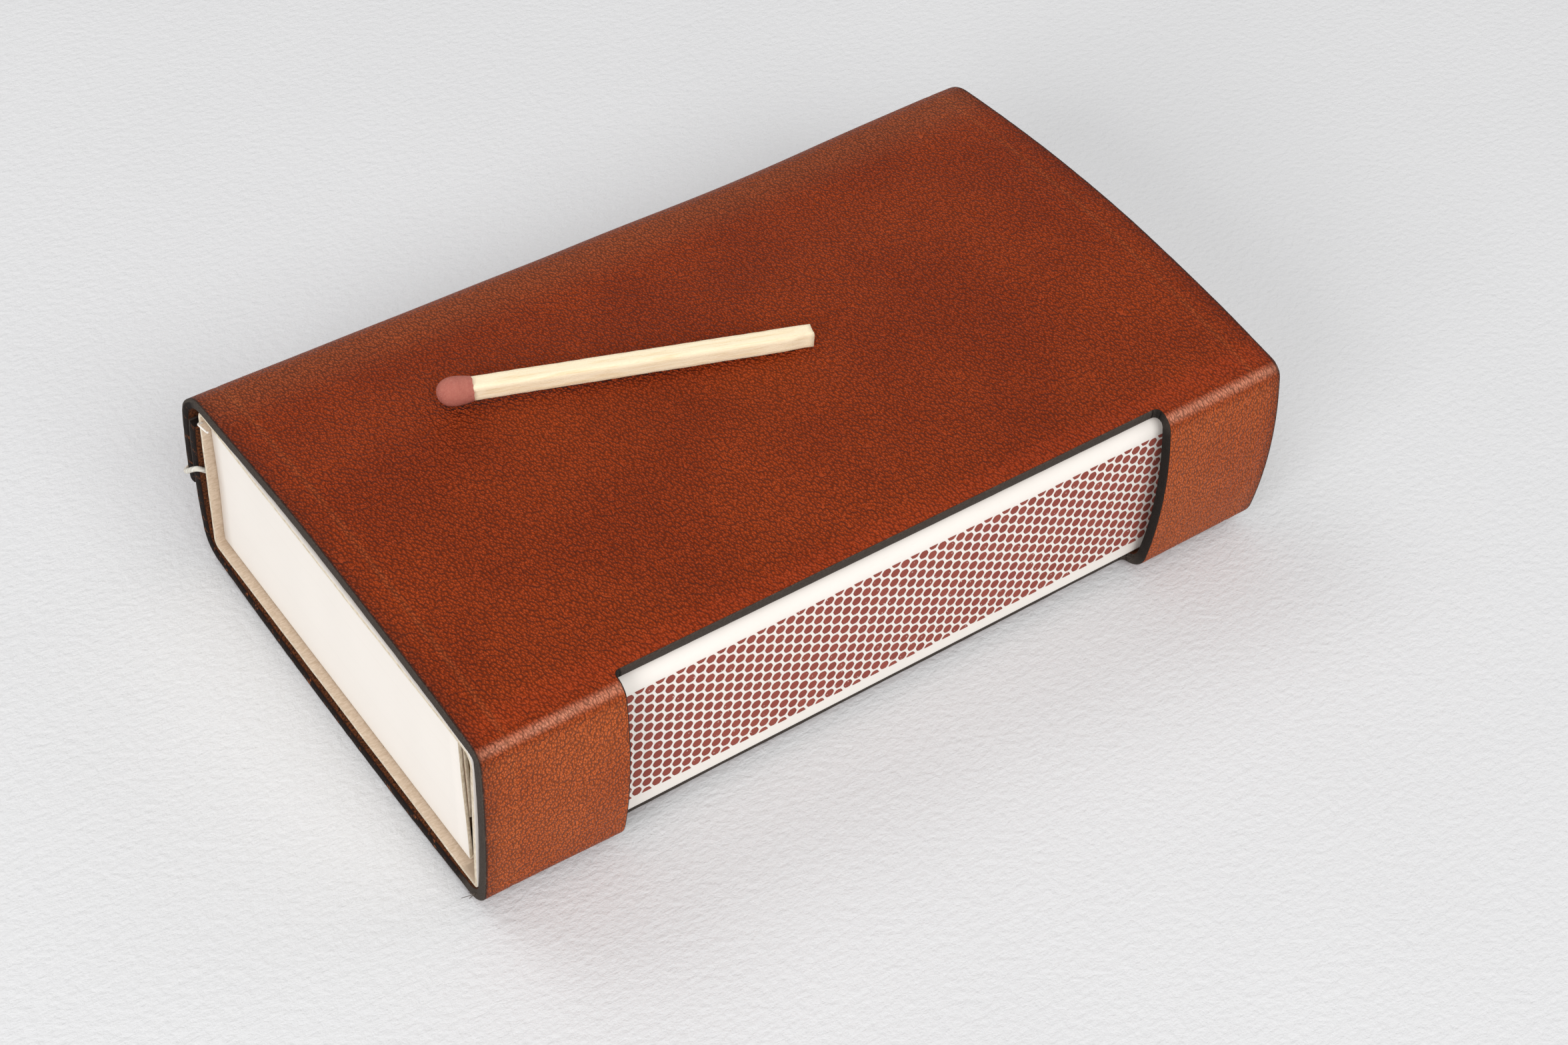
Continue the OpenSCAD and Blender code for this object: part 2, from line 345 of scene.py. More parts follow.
FRONT_RADIUS = bulge_radius(2 * CORNER_Z, FRONT_BULGE)
BACK_RADIUS = bulge_radius(2 * CORNER_Z, BACK_BULGE)
TOP_RADIUS = bulge_radius(FLAP_Y - FRONT_Y, TOP_CROWN)
BELLY_RADIUS = bulge_radius(BACK_Y - FRONT_Y, BELLY)
FLAP_RADIUS = BACK_RADIUS + FLAP_GAP + LEATHER
FRONT_CENTRE = Vector((FRONT_Y - FRONT_BULGE + FRONT_RADIUS, 0))
BACK_CENTRE = Vector((BACK_Y + BACK_BULGE - BACK_RADIUS, 0))
TOP_CENTRE = Vector(((FLAP_Y + FRONT_Y) / 2, CORNER_Z + TOP_CROWN - TOP_RADIUS))
BELLY_CENTRE = Vector((0, BELLY_RADIUS - CORNER_Z - BELLY))


def fold_centre(centre_a, radius_a, centre_b, radius_b, fold, corner):
    """Centre of a fold that runs smoothly into two panel arcs."""
    a, b = radius_a - fold, radius_b - fold
    gap = (centre_b - centre_a).length
    along = (a * a - b * b + gap * gap) / (2 * gap)
    side = math.sqrt(a * a - along * along)
    way = (centre_b - centre_a) / gap
    across = Vector((-way.y, way.x)) * side
    both = [centre_a + way * along + across, centre_a + way * along - across]
    return min(both, key=lambda centre: (centre - corner).length)


def heading(centre, point, about):
    """Direction of point from centre, in radians, counted so that it is nearest to about."""
    angle = math.atan2(point.y - centre.y, point.x - centre.x)
    return angle + 2 * math.pi * round((about - angle) / (2 * math.pi))


def wrap_arcs():
    """Centre, radius and both angles of each arc from the inner flap's edge round to the
    outer flap's."""
    lower_back = fold_centre(BACK_CENTRE, BACK_RADIUS, BELLY_CENTRE, BELLY_RADIUS,
                             LOWER_BACK_FOLD, Vector((BACK_Y, -CORNER_Z)))
    lower_front = fold_centre(BELLY_CENTRE, BELLY_RADIUS, FRONT_CENTRE, FRONT_RADIUS,
                              LOWER_FRONT_FOLD, Vector((FRONT_Y, -CORNER_Z)))
    upper_front = fold_centre(FRONT_CENTRE, FRONT_RADIUS, TOP_CENTRE, TOP_RADIUS,
                              UPPER_FRONT_FOLD, Vector((FRONT_Y, CORNER_Z)))
    upper_back = fold_centre(TOP_CENTRE, TOP_RADIUS, BACK_CENTRE, FLAP_RADIUS,
                             UPPER_BACK_FOLD, Vector((FLAP_Y, CORNER_Z)))
    quarter = math.pi / 2
    inner_end = heading(BACK_CENTRE, upper_back, 0) - FLAP_SHY / BACK_RADIUS
    outer_end = -math.asin(FLAP_EDGE_DROP / FLAP_RADIUS)
    panels = [
        (BACK_CENTRE, BACK_RADIUS, inner_end, heading(BACK_CENTRE, lower_back, 0)),
        (BELLY_CENTRE, BELLY_RADIUS, heading(BELLY_CENTRE, lower_back, -quarter),
         heading(BELLY_CENTRE, lower_front, -quarter)),
        (FRONT_CENTRE, FRONT_RADIUS, heading(FRONT_CENTRE, lower_front, -2 * quarter),
         heading(FRONT_CENTRE, upper_front, -2 * quarter)),
        (TOP_CENTRE, TOP_RADIUS, heading(TOP_CENTRE, upper_front, -3 * quarter),
         heading(TOP_CENTRE, upper_back, -3 * quarter)),
        (BACK_CENTRE, FLAP_RADIUS, heading(BACK_CENTRE, upper_back, -4 * quarter),
         outer_end - 4 * quarter),
    ]
    folds = [(lower_back, LOWER_BACK_FOLD), (lower_front, LOWER_FRONT_FOLD),
             (upper_front, UPPER_FRONT_FOLD), (upper_back, UPPER_BACK_FOLD)]
    arcs = [panels[0]]
    for (centre, radius), before, after in zip(folds, panels, panels[1:]):
        arcs.append((centre, radius, before[3], after[2]))
        arcs.append(after)
    return arcs


ARCS = wrap_arcs()
ARC_ENDS = np.cumsum([0.0] + [radius * (start - end) for _, radius, start, end in ARCS])
# Distances along the wrap at which its panels start and end
(_, _, BELLY_START, BELLY_END, FRONT_START, FRONT_END, TOP_START, TOP_END, FLAP_START,
 WRAP) = map(float, ARC_ENDS)


def wrap_point(along):
    """Grain-side point and outward normal, in Y and Z, at a distance along the wrap."""
    index = int(np.clip(np.searchsorted(ARC_ENDS, along) - 1, 0, len(ARCS) - 1))
    centre, radius, start, _ = ARCS[index]
    angle = start - (along - ARC_ENDS[index]) / radius
    normal = Vector((math.cos(angle), math.sin(angle)))
    return centre + normal * radius, normal


def wrap_place(y, low, high):
    """Distance along the wrap, between low and high, at which it reaches y."""
    rising = wrap_point(high)[0].x > wrap_point(low)[0].x
    for _ in range(40):
        middle = (low + high) / 2
        if (wrap_point(middle)[0].x < y) == rising:
            low = middle
        else:
            high = middle
    return low


WINDOW_LOW = wrap_place(-BOX.y / 2 + WINDOW_LOW_SET_BACK, BELLY_START, FRONT_START)
WINDOW_HIGH = wrap_place(-BOX.y / 2 + WINDOW_SET_BACK, FRONT_END, TOP_END)


# Meshes

def ripple(seed, wavelengths):
    """A smooth, seeded, random-looking function of place with values near -1 to 1."""
    draw = random.Random(seed)
    waves = [(length, draw.uniform(0, 2 * math.pi), draw.uniform(0, 2 * math.pi))
             for length in wavelengths]

    def at(u, v):
        total = 0.0
        for length, turn, phase in waves:
            total += math.sin((u * math.cos(turn) + v * math.sin(turn)) * 2 * math.pi / length
                              + phase)
        return total / len(waves)
    return at


def new_object(name, points, faces, body, slot, material, attributes):
    """A piece from points in metres, with normals turned outwards."""
    mesh = bpy.data.meshes.new(name)
    mesh.from_pydata([tuple(point) for point in points], [], faces)
    for key, values in attributes.items():
        if np.ndim(values) == 1:
            layer = mesh.attributes.new(key, "FLOAT", "POINT")
            layer.data.foreach_set("value", np.asarray(values, np.float32))
        else:
            layer = mesh.attributes.new(key, "FLOAT_VECTOR", "POINT")
            layer.data.foreach_set("vector", np.asarray(values, np.float32).ravel())
    work = bmesh.new()
    work.from_mesh(mesh)
    bmesh.ops.recalc_face_normals(work, faces=work.faces)
    work.to_mesh(mesh)
    work.free()
    return finished(name, mesh, body, slot, material)


def finished(name, mesh, body, slot, material, smooth=True):
    """Links a mesh as a piece that rides on its body."""
    mesh.polygons.foreach_set("use_smooth", [smooth] * len(mesh.polygons))
    mesh.materials.clear()
    mesh.materials.append(material)
    piece = bpy.data.objects.new(name, mesh)
    SCENE.collection.objects.link(piece)
    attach(piece, body)
    return piece


def steps_between(marks, step_at):
    """Places from the first mark to the last that meet each mark, spaced by step_at."""
    places = []
    for start, end in zip(marks, marks[1:]):
        count = max(1, math.ceil((end - start) / step_at((start + end) / 2)))
        places += [start + (end - start) * i / count for i in range(count)]
    return places + [marks[-1]]


# Shared shapes

CORNER_STEPS = 6


def rounded_path(corners, step=2.5):
    """Points and outward normals round corners of (y, z, radius) given clockwise, closed."""
    path = []
    for k, (y, z, radius) in enumerate(corners):
        before, after = corners[k - 1], corners[(k + 1) % len(corners)]
        corner = Vector((y, z))
        back = (Vector(before[:2]) - corner).normalized()
        ahead = (Vector(after[:2]) - corner).normalized()
        centre = corner + (back + ahead) * radius
        for i in range(CORNER_STEPS + 1):
            turn = i / CORNER_STEPS * math.pi / 2
            normal = -ahead * math.cos(turn) - back * math.sin(turn)
            path.append((centre + normal * radius, normal))
        start, normal = path[-1]
        end = corner + ahead * ((Vector(after[:2]) - corner).length - after[2])
        count = max(1, round((end - start).length / step))
        path += [(start.lerp(end, i / count), normal.copy()) for i in range(1, count)]
    return path


def tube_faces(rings, sides):
    """Faces of a tube whose points run ring by ring."""
    return [[k * sides + i, k * sides + (i + 1) % sides, (k + 1) * sides + (i + 1) % sides,
             (k + 1) * sides + i] for k in range(rings - 1) for i in range(sides)]


def end_faces(rings, sides):
    """The flat faces that close both ends of such a tube."""
    return [list(range(sides))[::-1], [(rings - 1) * sides + i for i in range(sides)]]


def swept(path, radius, sides):
    """Points, faces and strand attribute of a round strand along a path, with closed ends."""
    path = [Vector(point) for point in path]
    points, strand = [], []
    along = 0.0
    side = Vector((0, 0, 1))
    for k, here in enumerate(path):
        ahead = (path[min(k + 1, len(path) - 1)] - path[max(k - 1, 0)]).normalized()
        side = (side - ahead * side.dot(ahead)).normalized()
        other = ahead.cross(side)
        along += (here - path[k - 1]).length if k else 0.0
        for i in range(sides):
            turn = 2 * math.pi * i / sides
            points.append(here + (side * math.cos(turn) + other * math.sin(turn)) * radius)
            strand.append((along, turn * PLIES, 0))
    return points, tube_faces(len(path), sides) + end_faces(len(path), sides), strand


def smooth_path(knots, count):
    """Points on a smooth curve through the knots."""
    knots = [Vector(knot) for knot in knots]
    ends = [knots[0] * 2 - knots[1]] + knots + [knots[-1] * 2 - knots[-2]]
    path = []
    for k in range(len(knots) - 1):
        a, b, c, d = ends[k:k + 4]
        for i in range(count):
            t = i / count
            path.append(0.5 * (2 * b + (c - a) * t + (2 * a - 5 * b + 4 * c - d) * t * t
                               + (3 * b - a - 3 * c + d) * t ** 3))
    return path + [knots[-1]]


class Gathered:
    """Points and faces of one piece, with what its material reads at each point."""

    def __init__(self, *names):
        self.points, self.faces = [], []
        self.attributes = {name: [] for name in names}

    def point(self, spot, *values):
        """Adds one point and returns its number."""
        self.points.append(tuple(spot))
        for kept, value in zip(self.attributes.values(), values):
            kept.append(value)
        return len(self.points) - 1

    def shape(self, points, faces, values):
        """Adds a whole shape, given the values of each of its points."""
        first = len(self.points)
        for spot, its_values in zip(points, values):
            self.point(spot, *its_values)
        self.faces += [[corner + first for corner in face] for face in faces]


# Leather cover

# Roundness of the cut edges, and of the window's corners
EDGE_ROUND = 0.25
WINDOW_CORNER = 0.6
# The creased line tooled beside each end: its distance from the end, half width and depth
CREASE_IN = 4.0
CREASE_HALF = 0.3
CREASE_DEPTH = 0.05
# Spacing of the mesh on plain leather, on folds, round the window and at a crease
PLAIN_STEP = 1.0
FOLD_STEP = 0.45
WINDOW_STEP = 0.33
CREASE_STEP = 0.2
# How far the finer spacing reaches into the window, outwards from it and off a crease
FINE_INWARDS = 2.2
FINE_OUTWARDS = 2.0
FINE_AT_CREASE = 0.8
# Places closer than this count as one
CLOSE = 0.02
# How far the leather swells and sinks off its section
SWELL = 0.06
# How far the leather stands up, and reaches out, where the right end's top has come loose
END_LIFT = 0.9
END_REACH = 0.6
END_LIFT_SPREAD = 20
# How much less the front bulges at the left end
END_PRESS = 0.9
END_PRESS_SPREAD = 13
# How unevenly a cut edge is worn, as a share of its reach
EDGE_WEAR = 0.12
# Outward reach and depth of the points that round a cut edge, from grain to flesh
EDGE_PROFILE = [(0.10, 0.03), (0.20, 0.12), (0.25, 0.30), (0.27, 0.60), (0.26, 0.95),
                (0.22, 1.22), (0.12, 1.42)]


def cover_columns():
    half = COVER_LENGTH / 2 - EDGE_ROUND
    window = WINDOW_LENGTH / 2 + EDGE_ROUND
    crease = COVER_LENGTH / 2 - CREASE_IN
    marks = [0.0, window - FINE_INWARDS, window, window + FINE_OUTWARDS,
             crease - FINE_AT_CREASE, crease, crease + FINE_AT_CREASE, half]

    def step(x):
        if abs(x - window) < FINE_INWARDS:
            return WINDOW_STEP
        return CREASE_STEP if abs(x - crease) < FINE_AT_CREASE else PLAIN_STEP
    right = steps_between(marks, step)
    return np.array([-x for x in reversed(right[1:])] + right)


def cover_rows():
    folds = [(ARC_ENDS[i], ARC_ENDS[i + 1]) for i in (1, 3, 5, 7)]
    cuts = (WINDOW_LOW - EDGE_ROUND, WINDOW_HIGH + EDGE_ROUND)
    marks = {EDGE_ROUND, WRAP - EDGE_ROUND, *ARC_ENDS[1:-1]}
    for cut in cuts:
        marks |= {cut - FINE_OUTWARDS, cut, cut + FINE_OUTWARDS}
    marks = sorted(marks)
    marks = [mark for i, mark in enumerate(marks) if i == 0 or mark - marks[i - 1] > CLOSE]

    def step(along):
        if any(abs(along - cut) < FINE_OUTWARDS for cut in cuts):
            return WINDOW_STEP
        return FOLD_STEP if any(low <= along <= high for low, high in folds) else PLAIN_STEP
    return np.array(steps_between(marks, step))


def window_distance(x, along):
    """Distance from the window's rounded outline in the flat leather, negative inside."""
    corner = WINDOW_CORNER + EDGE_ROUND
    centre = (WINDOW_LOW + WINDOW_HIGH) / 2
    across = abs(x) - (WINDOW_LENGTH / 2 + EDGE_ROUND - corner)
    up = abs(along - centre) - ((WINDOW_HIGH - WINDOW_LOW) / 2 + EDGE_ROUND - corner)
    outside = math.hypot(max(across, 0), max(up, 0))
    return outside + min(max(across, up), 0) - corner


def snapped(x, along):
    """The nearest place on the window's outline, by a few steps down its slope."""
    probe = 0.01
    for _ in range(6):
        gap = window_distance(x, along)
        slope_x = (window_distance(x + probe, along) - gap) / probe
        slope_s = (window_distance(x, along + probe) - gap) / probe
        size = max(slope_x ** 2 + slope_s ** 2, 0.1)
        x -= gap * slope_x / size
        along -= gap * slope_s / size
    return x, along


def outline_loops(faces):
    """Closed loops of the directed edges that only one face has."""
    directed = {}
    for face in faces:
        directed.update(dict.fromkeys(zip(face, face[1:] + face[:1])))
    following = {a: b for a, b in directed if (b, a) not in directed}
    loops = []
    while following:
        start, point = following.popitem()
        loop = [start]
        while point != start:
            loop.append(point)
            point = following.pop(point)
        loops.append(loop)
    return loops


# Where fibres stand out of the cut edges: x, place along the wrap, depth, and their way
FIBRES = [
    (-WINDOW_LENGTH / 2, WINDOW_HIGH - 0.3, 1.3, (0.5, -0.2, -0.8)),
    (-WINDOW_LENGTH / 2, WINDOW_LOW + 2.0, 1.2, (0.3, -0.5, -0.9)),
    (WINDOW_LENGTH / 2, WINDOW_LOW + 2.6, 1.3, (-0.7, -0.3, 0.2)),
    (-COVER_LENGTH / 2, BELLY_END + 2.0, 1.0, (-0.7, -0.3, -0.2)),
]
FIBRES_EACH = 6
FIBRE_LENGTH = 1.1
FIBRE_RADIUS = 0.045


def fibre_paths():
    """Base place in the leather and curled path of each fibre, as offsets in mm."""
    draw = random.Random(14)
    for x, along, depth, way in FIBRES:
        for _ in range(FIBRES_EACH):
            turn = Vector(way) + Vector([draw.uniform(-0.7, 0.7) for _ in range(3)])
            curl = Vector([draw.uniform(-0.5, 0.5) for _ in range(3)])
            length = FIBRE_LENGTH * draw.uniform(0.35, 1.0)
            path = [(turn * t + curl * t * t) * length for t in (0.0, 0.25, 0.5, 0.75, 1.0)]
            yield x, along + draw.uniform(-0.5, 0.5), depth + draw.uniform(-0.3, 0.1), path


def cut_sheet():
    """Places (x, along) of the flat leather's points, and its faces round the window."""
    columns, rows = cover_columns(), cover_rows()
    many = len(rows)
    flat = [(x, along) for x in columns for along in rows]
    gaps = [window_distance(x, along) for x, along in flat]

    def near_leather(index):
        i, j = divmod(index, many)
        return any(gaps[(i + a) * many + j + b] > CLOSE for a in (-1, 0, 1) for b in (-1, 0, 1))

    keep = [True] * len(flat)
    for index, gap in enumerate(gaps):
        if gap < -0.001:
            if near_leather(index):
                flat[index] = snapped(*flat[index])
            else:
                keep[index] = False
    faces = []
    for i in range(len(columns) - 1):
        for j in range(many - 1):
            face = [i * many + j, (i + 1) * many + j, (i + 1) * many + j + 1, i * many + j + 1]
            if all(keep[corner] for corner in face):
                faces.append(face)
    used = sorted({corner for face in faces for corner in face})
    number = {old: new for new, old in enumerate(used)}
    return [flat[old] for old in used], [[number[corner] for corner in face] for face in faces]


hide_swell = ripple(3, (31, 19, 13, 44))
edge_wear = ripple(8, (1.3, 0.9, 2.1, 0.6))


def lifted(x, along):
    """How far the right end's top stands off the card, 0 to 1."""
    share = np.clip((FLAP_START - along) / (FLAP_START - FRONT_END), 0.0, 1.0)
    from_end = (x - COVER_LENGTH / 2) / END_LIFT_SPREAD
    return math.sin(math.pi * share ** 0.9) * math.exp(-from_end ** 2)


def pressed(x, along):
    """How closely the left end's front is pressed to the card, 0 to 1."""
    share = np.clip((along - BELLY_END) / (TOP_START - BELLY_END), 0.0, 1.0)
    from_end = (x + COVER_LENGTH / 2) / END_PRESS_SPREAD
    return math.sin(math.pi * share) * math.exp(-from_end ** 2)


def leather_point(x, along, depth, reach=(0, 0)):
    """A point of the leather below its grain side, reach being its offset in the flat."""
    point, normal = wrap_point(along)
    tangent = Vector((normal.y, -normal.x))
    from_crease = (abs(x) - (COVER_LENGTH / 2 - CREASE_IN)) / CREASE_HALF
    grain = SWELL * hide_swell(x, along) - CREASE_DEPTH * math.exp(-from_crease ** 2)
    relief = grain * (1 - depth / LEATHER)
    lift = lifted(x, along)
    relief += END_LIFT * lift - END_PRESS * pressed(x, along)
    section = point + normal * (relief - depth) + tangent * reach[1]
    return x + reach[0] + END_REACH * lift, section.x, section.y


def round_edge(hide, flat, loop):
    """Adds the rounded edge along one outline of the leather, from grain to flesh."""
    size = len(loop)
    outward = []
    for k in range(size):
        before, after = flat[loop[k - 1]], flat[loop[(k + 1) % size]]
        edge = Vector((after[0] - before[0], after[1] - before[1])).normalized()
        outward.append(Vector((edge.y, -edge.x)))
    rings = [loop]
    for reach, depth in EDGE_PROFILE:
        ring = []
        for here, way in zip(loop, outward):
            x, along = flat[here]
            wobble = reach * (1 + EDGE_WEAR * edge_wear(x + along, depth * 2))
            spot = leather_point(x, along, depth, way * wobble)
            ring.append(hide.point(spot, 1.0, 0.0, (x, along, depth)))
        rings.append(ring)
    rings.append([here + len(flat) for here in loop])
    for upper, lower in zip(rings, rings[1:]):
        for k in range(size):
            after = (k + 1) % size
            hide.faces.append([upper[after], upper[k], lower[k], lower[after]])


def make_cover(material):
    flat, sheet = cut_sheet()
    hide = Gathered("cut", "flesh", "pattern")
    for depth, flesh in ((0, 0.0), (LEATHER, 1.0)):
        for x, along in flat:
            hide.point(leather_point(x, along, depth), 0.0, flesh, (x, along, 0))
    hide.faces += sheet
    hide.faces += [[corner + len(flat) for corner in reversed(face)] for face in sheet]
    for loop in outline_loops(sheet):
        round_edge(hide, flat, loop)
    for x, along, depth, path in fibre_paths():
        base = Vector(leather_point(x, along, depth))
        points, faces, _ = swept([base + step for step in path], FIBRE_RADIUS, 4)
        hide.shape(points, faces, [(1.0, 0.0, (x, along, depth))] * len(points))
    spots = settled(sagged(hide.points))
    spots[:, 2] = np.maximum(spots[:, 2], 0.0)
    piece = new_object("leather_sleeve", spots, hide.faces, "cover", "tan_leather", material,
                       hide.attributes)
    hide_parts("leather_cover")


def hide_grain(graph, x, along):
    """Small pebbles drawn out slantwise, softer waves and pores."""
    hide = graph.joined(X=(0.17 * x - 0.985 * along) * 2.0, Y=(0.985 * x + 0.17 * along) * 2.9)
    drift = graph.add("ShaderNodeTexNoise", None,
                      {"Vector": hide, "Scale": 0.8, "Detail": 1.0})["Color"]
    bent = graph.vector("MULTIPLY_ADD", drift, (0.55, 0.55, 0.0), hide)
    nearest = graph.cells(bent, 1.0)
    domes = (1.0 - nearest * nearest * 1.3).clamped()
    return domes, graph.noise(bent, 0.6, 2.0, 0.5), graph.noise(bent, 4.0, 2.0, 0.6)


def stitch_holes(x, along):
    """1 in the middle of each stitch hole, and 0 away from them."""
    number = x / STITCH_STEP + (0.5 if STITCHES % 2 else 0.0)
    off_hole = (number - number.math("ROUND")) * STITCH_STEP
    off_line = along - (WRAP - STITCH_INSET)
    return 1.0 - (off_hole * off_hole + off_line * off_line).math("SQRT").between(0.25, 0.6)


def cut_edges(graph, place, fibres, front):
    """Colour of the cut edges: edge paint, worn to raw fibres, and painted shade on the window's
    sides.
    """
    split = graph.split(place)
    x, along, depth = split["X"], split["Y"], split["Z"]
    tufts = graph.noise(place, 0.9, 4.0, 0.7)
    raw = graph.blend(tufts.between(0.56, 0.70), linear(33, 23, 19), linear(160, 92, 52))
    painted = graph.blend(fibres.between(0.3, 0.75), linear(72, 63, 57), linear(95, 86, 78))
    # Painted shade: the window's side edges are darkened near black
    window_side = abs(abs(x) - WINDOW_LENGTH / 2).between(0.0, 1.2)
    off_fold = (1.0 - front) * abs(along - TOP_START).between(0.0, 3.0)
    painted = graph.blend(0.85 * (1.0 - (window_side + off_fold)).clamped(), painted,
                          linear(20, 17, 16))
    rough_part = (along - TOP_END).between(0.5, 3.0) + (
        1.0 - (along - BELLY_END).between(-3.0, 0.0))
    worn = rough_part.clamped() * (depth + 0.3 * tufts).between(0.50, 0.66)
    return graph.blend(worn, painted, raw)


def paint_leather(graph):
    place = graph.attribute("pattern", "Vector")
    cut = graph.attribute("cut")
    flesh = graph.attribute("flesh")
    split = graph.split(place)
    x, along = split["X"], split["Y"]
    front = (along - FRONT_START).between(-4.0, 1.0) * (
        1.0 - (along - FRONT_END).between(-1.0, 2.5))
    domes, waves, pores = hide_grain(graph, x, along)
    broad = graph.noise(place, 0.055, 3.0).between(0.35, 0.65)
    patches = graph.noise(place, 0.35, 3.0)

    # Painted light on the front, which faces the light, and painted shade in the grain's valleys
    sunk = (1.0 - domes.between(0.40, 0.95)) * (1.15 - waves).clamped()
    valley_shade = (0.30 - 0.16 * front) * sunk * (0.4 + 0.8 * patches).clamped()
    top_tone = graph.blend(broad, linear(159, 56, 6), linear(171, 64, 12))
    front_lit_tone = graph.blend(broad, linear(196, 91, 40), linear(206, 101, 48))
    shade = graph.blend(front, linear(84, 24, 6), linear(120, 46, 18))
    tone = graph.blend(valley_shade, graph.blend(front, top_tone, front_lit_tone), shade)

    # A painted highlight along the upper front fold, and the deep orange stretch behind it
    stretch = 1.0 - abs(along - TOP_START - 1.6).between(0.3, 3.2)
    tone = graph.blend(0.4 * stretch, tone, linear(152, 48, 4))
    fold_highlight = 1.0 - abs(along - (FRONT_END + TOP_START) / 2 - 0.2).between(0.0, 1.1)
    tone = graph.blend(0.62 * fold_highlight * (0.45 + 0.9 * patches).clamped(), tone,
                       linear(226, 158, 128))
    # A painted sheen along the upper back fold
    back_sheen = 1.0 - abs(along - TOP_END).between(0.5, 8.0)
    tone = graph.blend(0.42 * back_sheen, tone, linear(170, 98, 60))

    # The tooled crease, the burnished ends and the stitch holes
    crease = 1.0 - abs(abs(x) - (COVER_LENGTH / 2 - CREASE_IN)).between(0.1, 0.6)
    tone = graph.blend(0.13 * crease * (0.3 + 1.2 * patches).clamped(), tone,
                       linear(206, 124, 76))
    burnished = 1.0 - (COVER_LENGTH / 2 - abs(x)).between(0.4, 2.6)
    tone = graph.blend(0.4 * burnished * (0.4 + patches), tone, linear(86, 32, 18))
    hole = stitch_holes(x, along)
    tone = graph.blend(0.8 * hole, tone, linear(48, 22, 14))

    # The flesh side, the edge paint that bled over the ends, and the cut edges
    fibres = graph.noise(graph.vector("MULTIPLY", place, (2.0, 2.0, 6.0)), 1.6, 4.0, 0.7)
    inside = graph.blend(fibres.between(0.35, 0.7), linear(52, 31, 20), linear(142, 80, 42))
    tone = graph.blend(flesh, tone, inside)
    bleed = (abs(x) - COVER_LENGTH / 2).between(-0.55, -0.2) * (1.0 - flesh)
    tone = graph.blend(0.85 * bleed, tone, linear(50, 42, 36))
    tone = graph.blend(cut.between(0.25, 0.75), tone, cut_edges(graph, place, fibres, front))

    grained = (1.0 - flesh) * (1.0 - cut)
    height = 0.9 * domes + 0.45 * waves + 0.08 * pores
    grain = height * (1.0 - 0.4 * stretch - 0.4 * fold_highlight) - 0.8 * hole
    relief = grain * grained + 0.4 * fibres * (1.0 - grained)
    rough = 0.40 + 0.12 * pores + 0.2 * valley_shade + 0.3 * (1.0 - grained)
    return {"Base Color": tone, "Roughness": rough, "Normal": bump(graph, relief, 0.0011)}


# Card sheets

class Sheets(Gathered):
    """Card sheets gathered into one piece, each with an outer and an inner face."""

    def __init__(self):
        super().__init__("cut", "inner", "sheet")

    def add(self, outer, inner, fray, closed=False):
        """Adds the sheet between two equal grids of points, with its cut edges."""
        outer, inner = np.asarray(outer, float), np.asarray(inner, float)
        many, across = outer.shape[:2]
        steps = np.linalg.norm(np.diff(outer[:, 0], axis=0), axis=1)
        around = np.concatenate([[0.0], np.cumsum(steps)])
        front = [[self.point(outer[i, j], 0, 0, (outer[i, j, 0], around[i], 0))
                  for j in range(across)] for i in range(many)]
        back = [[self.point(inner[i, j], 0, 1, (outer[i, j, 0], around[i], 1))
                 for j in range(across)] for i in range(many)]
        for i in range(many if closed else many - 1):
            after = (i + 1) % many
            for j in range(across - 1):
                self.faces.append([front[i][j], front[after][j], front[after][j + 1],
                                   front[i][j + 1]])
                self.faces.append([back[i][j + 1], back[after][j + 1], back[after][j],
                                   back[i][j]])
        rows = range(many)
        first = [(i, 0, i, 1) for i in rows]
        last = [(i, across - 1, i, across - 2) for i in rows]
        if closed:
            loops = [first, last]
        else:
            top = [(many - 1, j, many - 2, j) for j in range(1, across - 1)]
            bottom = [(0, j, 1, j) for j in range(1, across - 1)]
            loops = [first + top + last[::-1] + bottom[::-1]]
        torn = ripple(5, (0.7, 1.1, 0.45, 2.3))
        for loop in loops:
            rings = [[front[i][j] for i, j, _, _ in loop]]
            for share, swell in ((0.12, 0.03), (0.5, 0.05), (0.88, 0.03)):
                ring = []
                for k, (i, j, near_i, near_j) in enumerate(loop):
                    way = outer[i, j] - outer[near_i, near_j]
                    way /= max(np.linalg.norm(way), 1e-6)
                    spot = outer[i, j] * (1 - share) + inner[i, j] * share
                    spot = spot + way * (swell + fray * torn(k * 0.9, share * 3))
                    ring.append(self.point(spot, 1, share, (outer[i, j, 0], around[i], share)))
                rings.append(ring)
            rings.append([back[i][j] for i, j, _, _ in loop])
            for upper, lower in zip(rings, rings[1:]):
                for k in range(len(loop)):
                    after = (k + 1) % len(loop)
                    self.faces.append([upper[k], upper[after], lower[after], lower[k]])

    def piece(self, name, body, slot, material):
        return new_object(name, settled(self.points), self.faces, body, slot, material,
                          self.attributes)


# Rows of copies, grown with Geometry Nodes

def new_tree(name, sizes):
    """An empty Geometry Nodes tree with named inputs and one geometry output."""
    tree = bpy.data.node_groups.new(name, "GeometryNodeTree")
    for size, kind in sizes.items():
        tree.interface.new_socket(size, in_out="INPUT", socket_type="NodeSocket" + kind)
    tree.interface.new_socket("Geometry", in_out="OUTPUT", socket_type="NodeSocketGeometry")
    graph = Graph(tree)
    return graph, graph.add("NodeGroupInput")


def end_tree(graph, copies, finish):
    """Makes the copies real, gives them their material and ends the tree."""
    real = graph.add("GeometryNodeRealizeInstances", None, {"Geometry": copies})["Geometry"]
    dressed = graph.add("GeometryNodeSetMaterial", None,
                        {"Geometry": real, "Material": finish})["Geometry"]
    graph.add("NodeGroupOutput", None, {"Geometry": dressed})
    return graph.tree


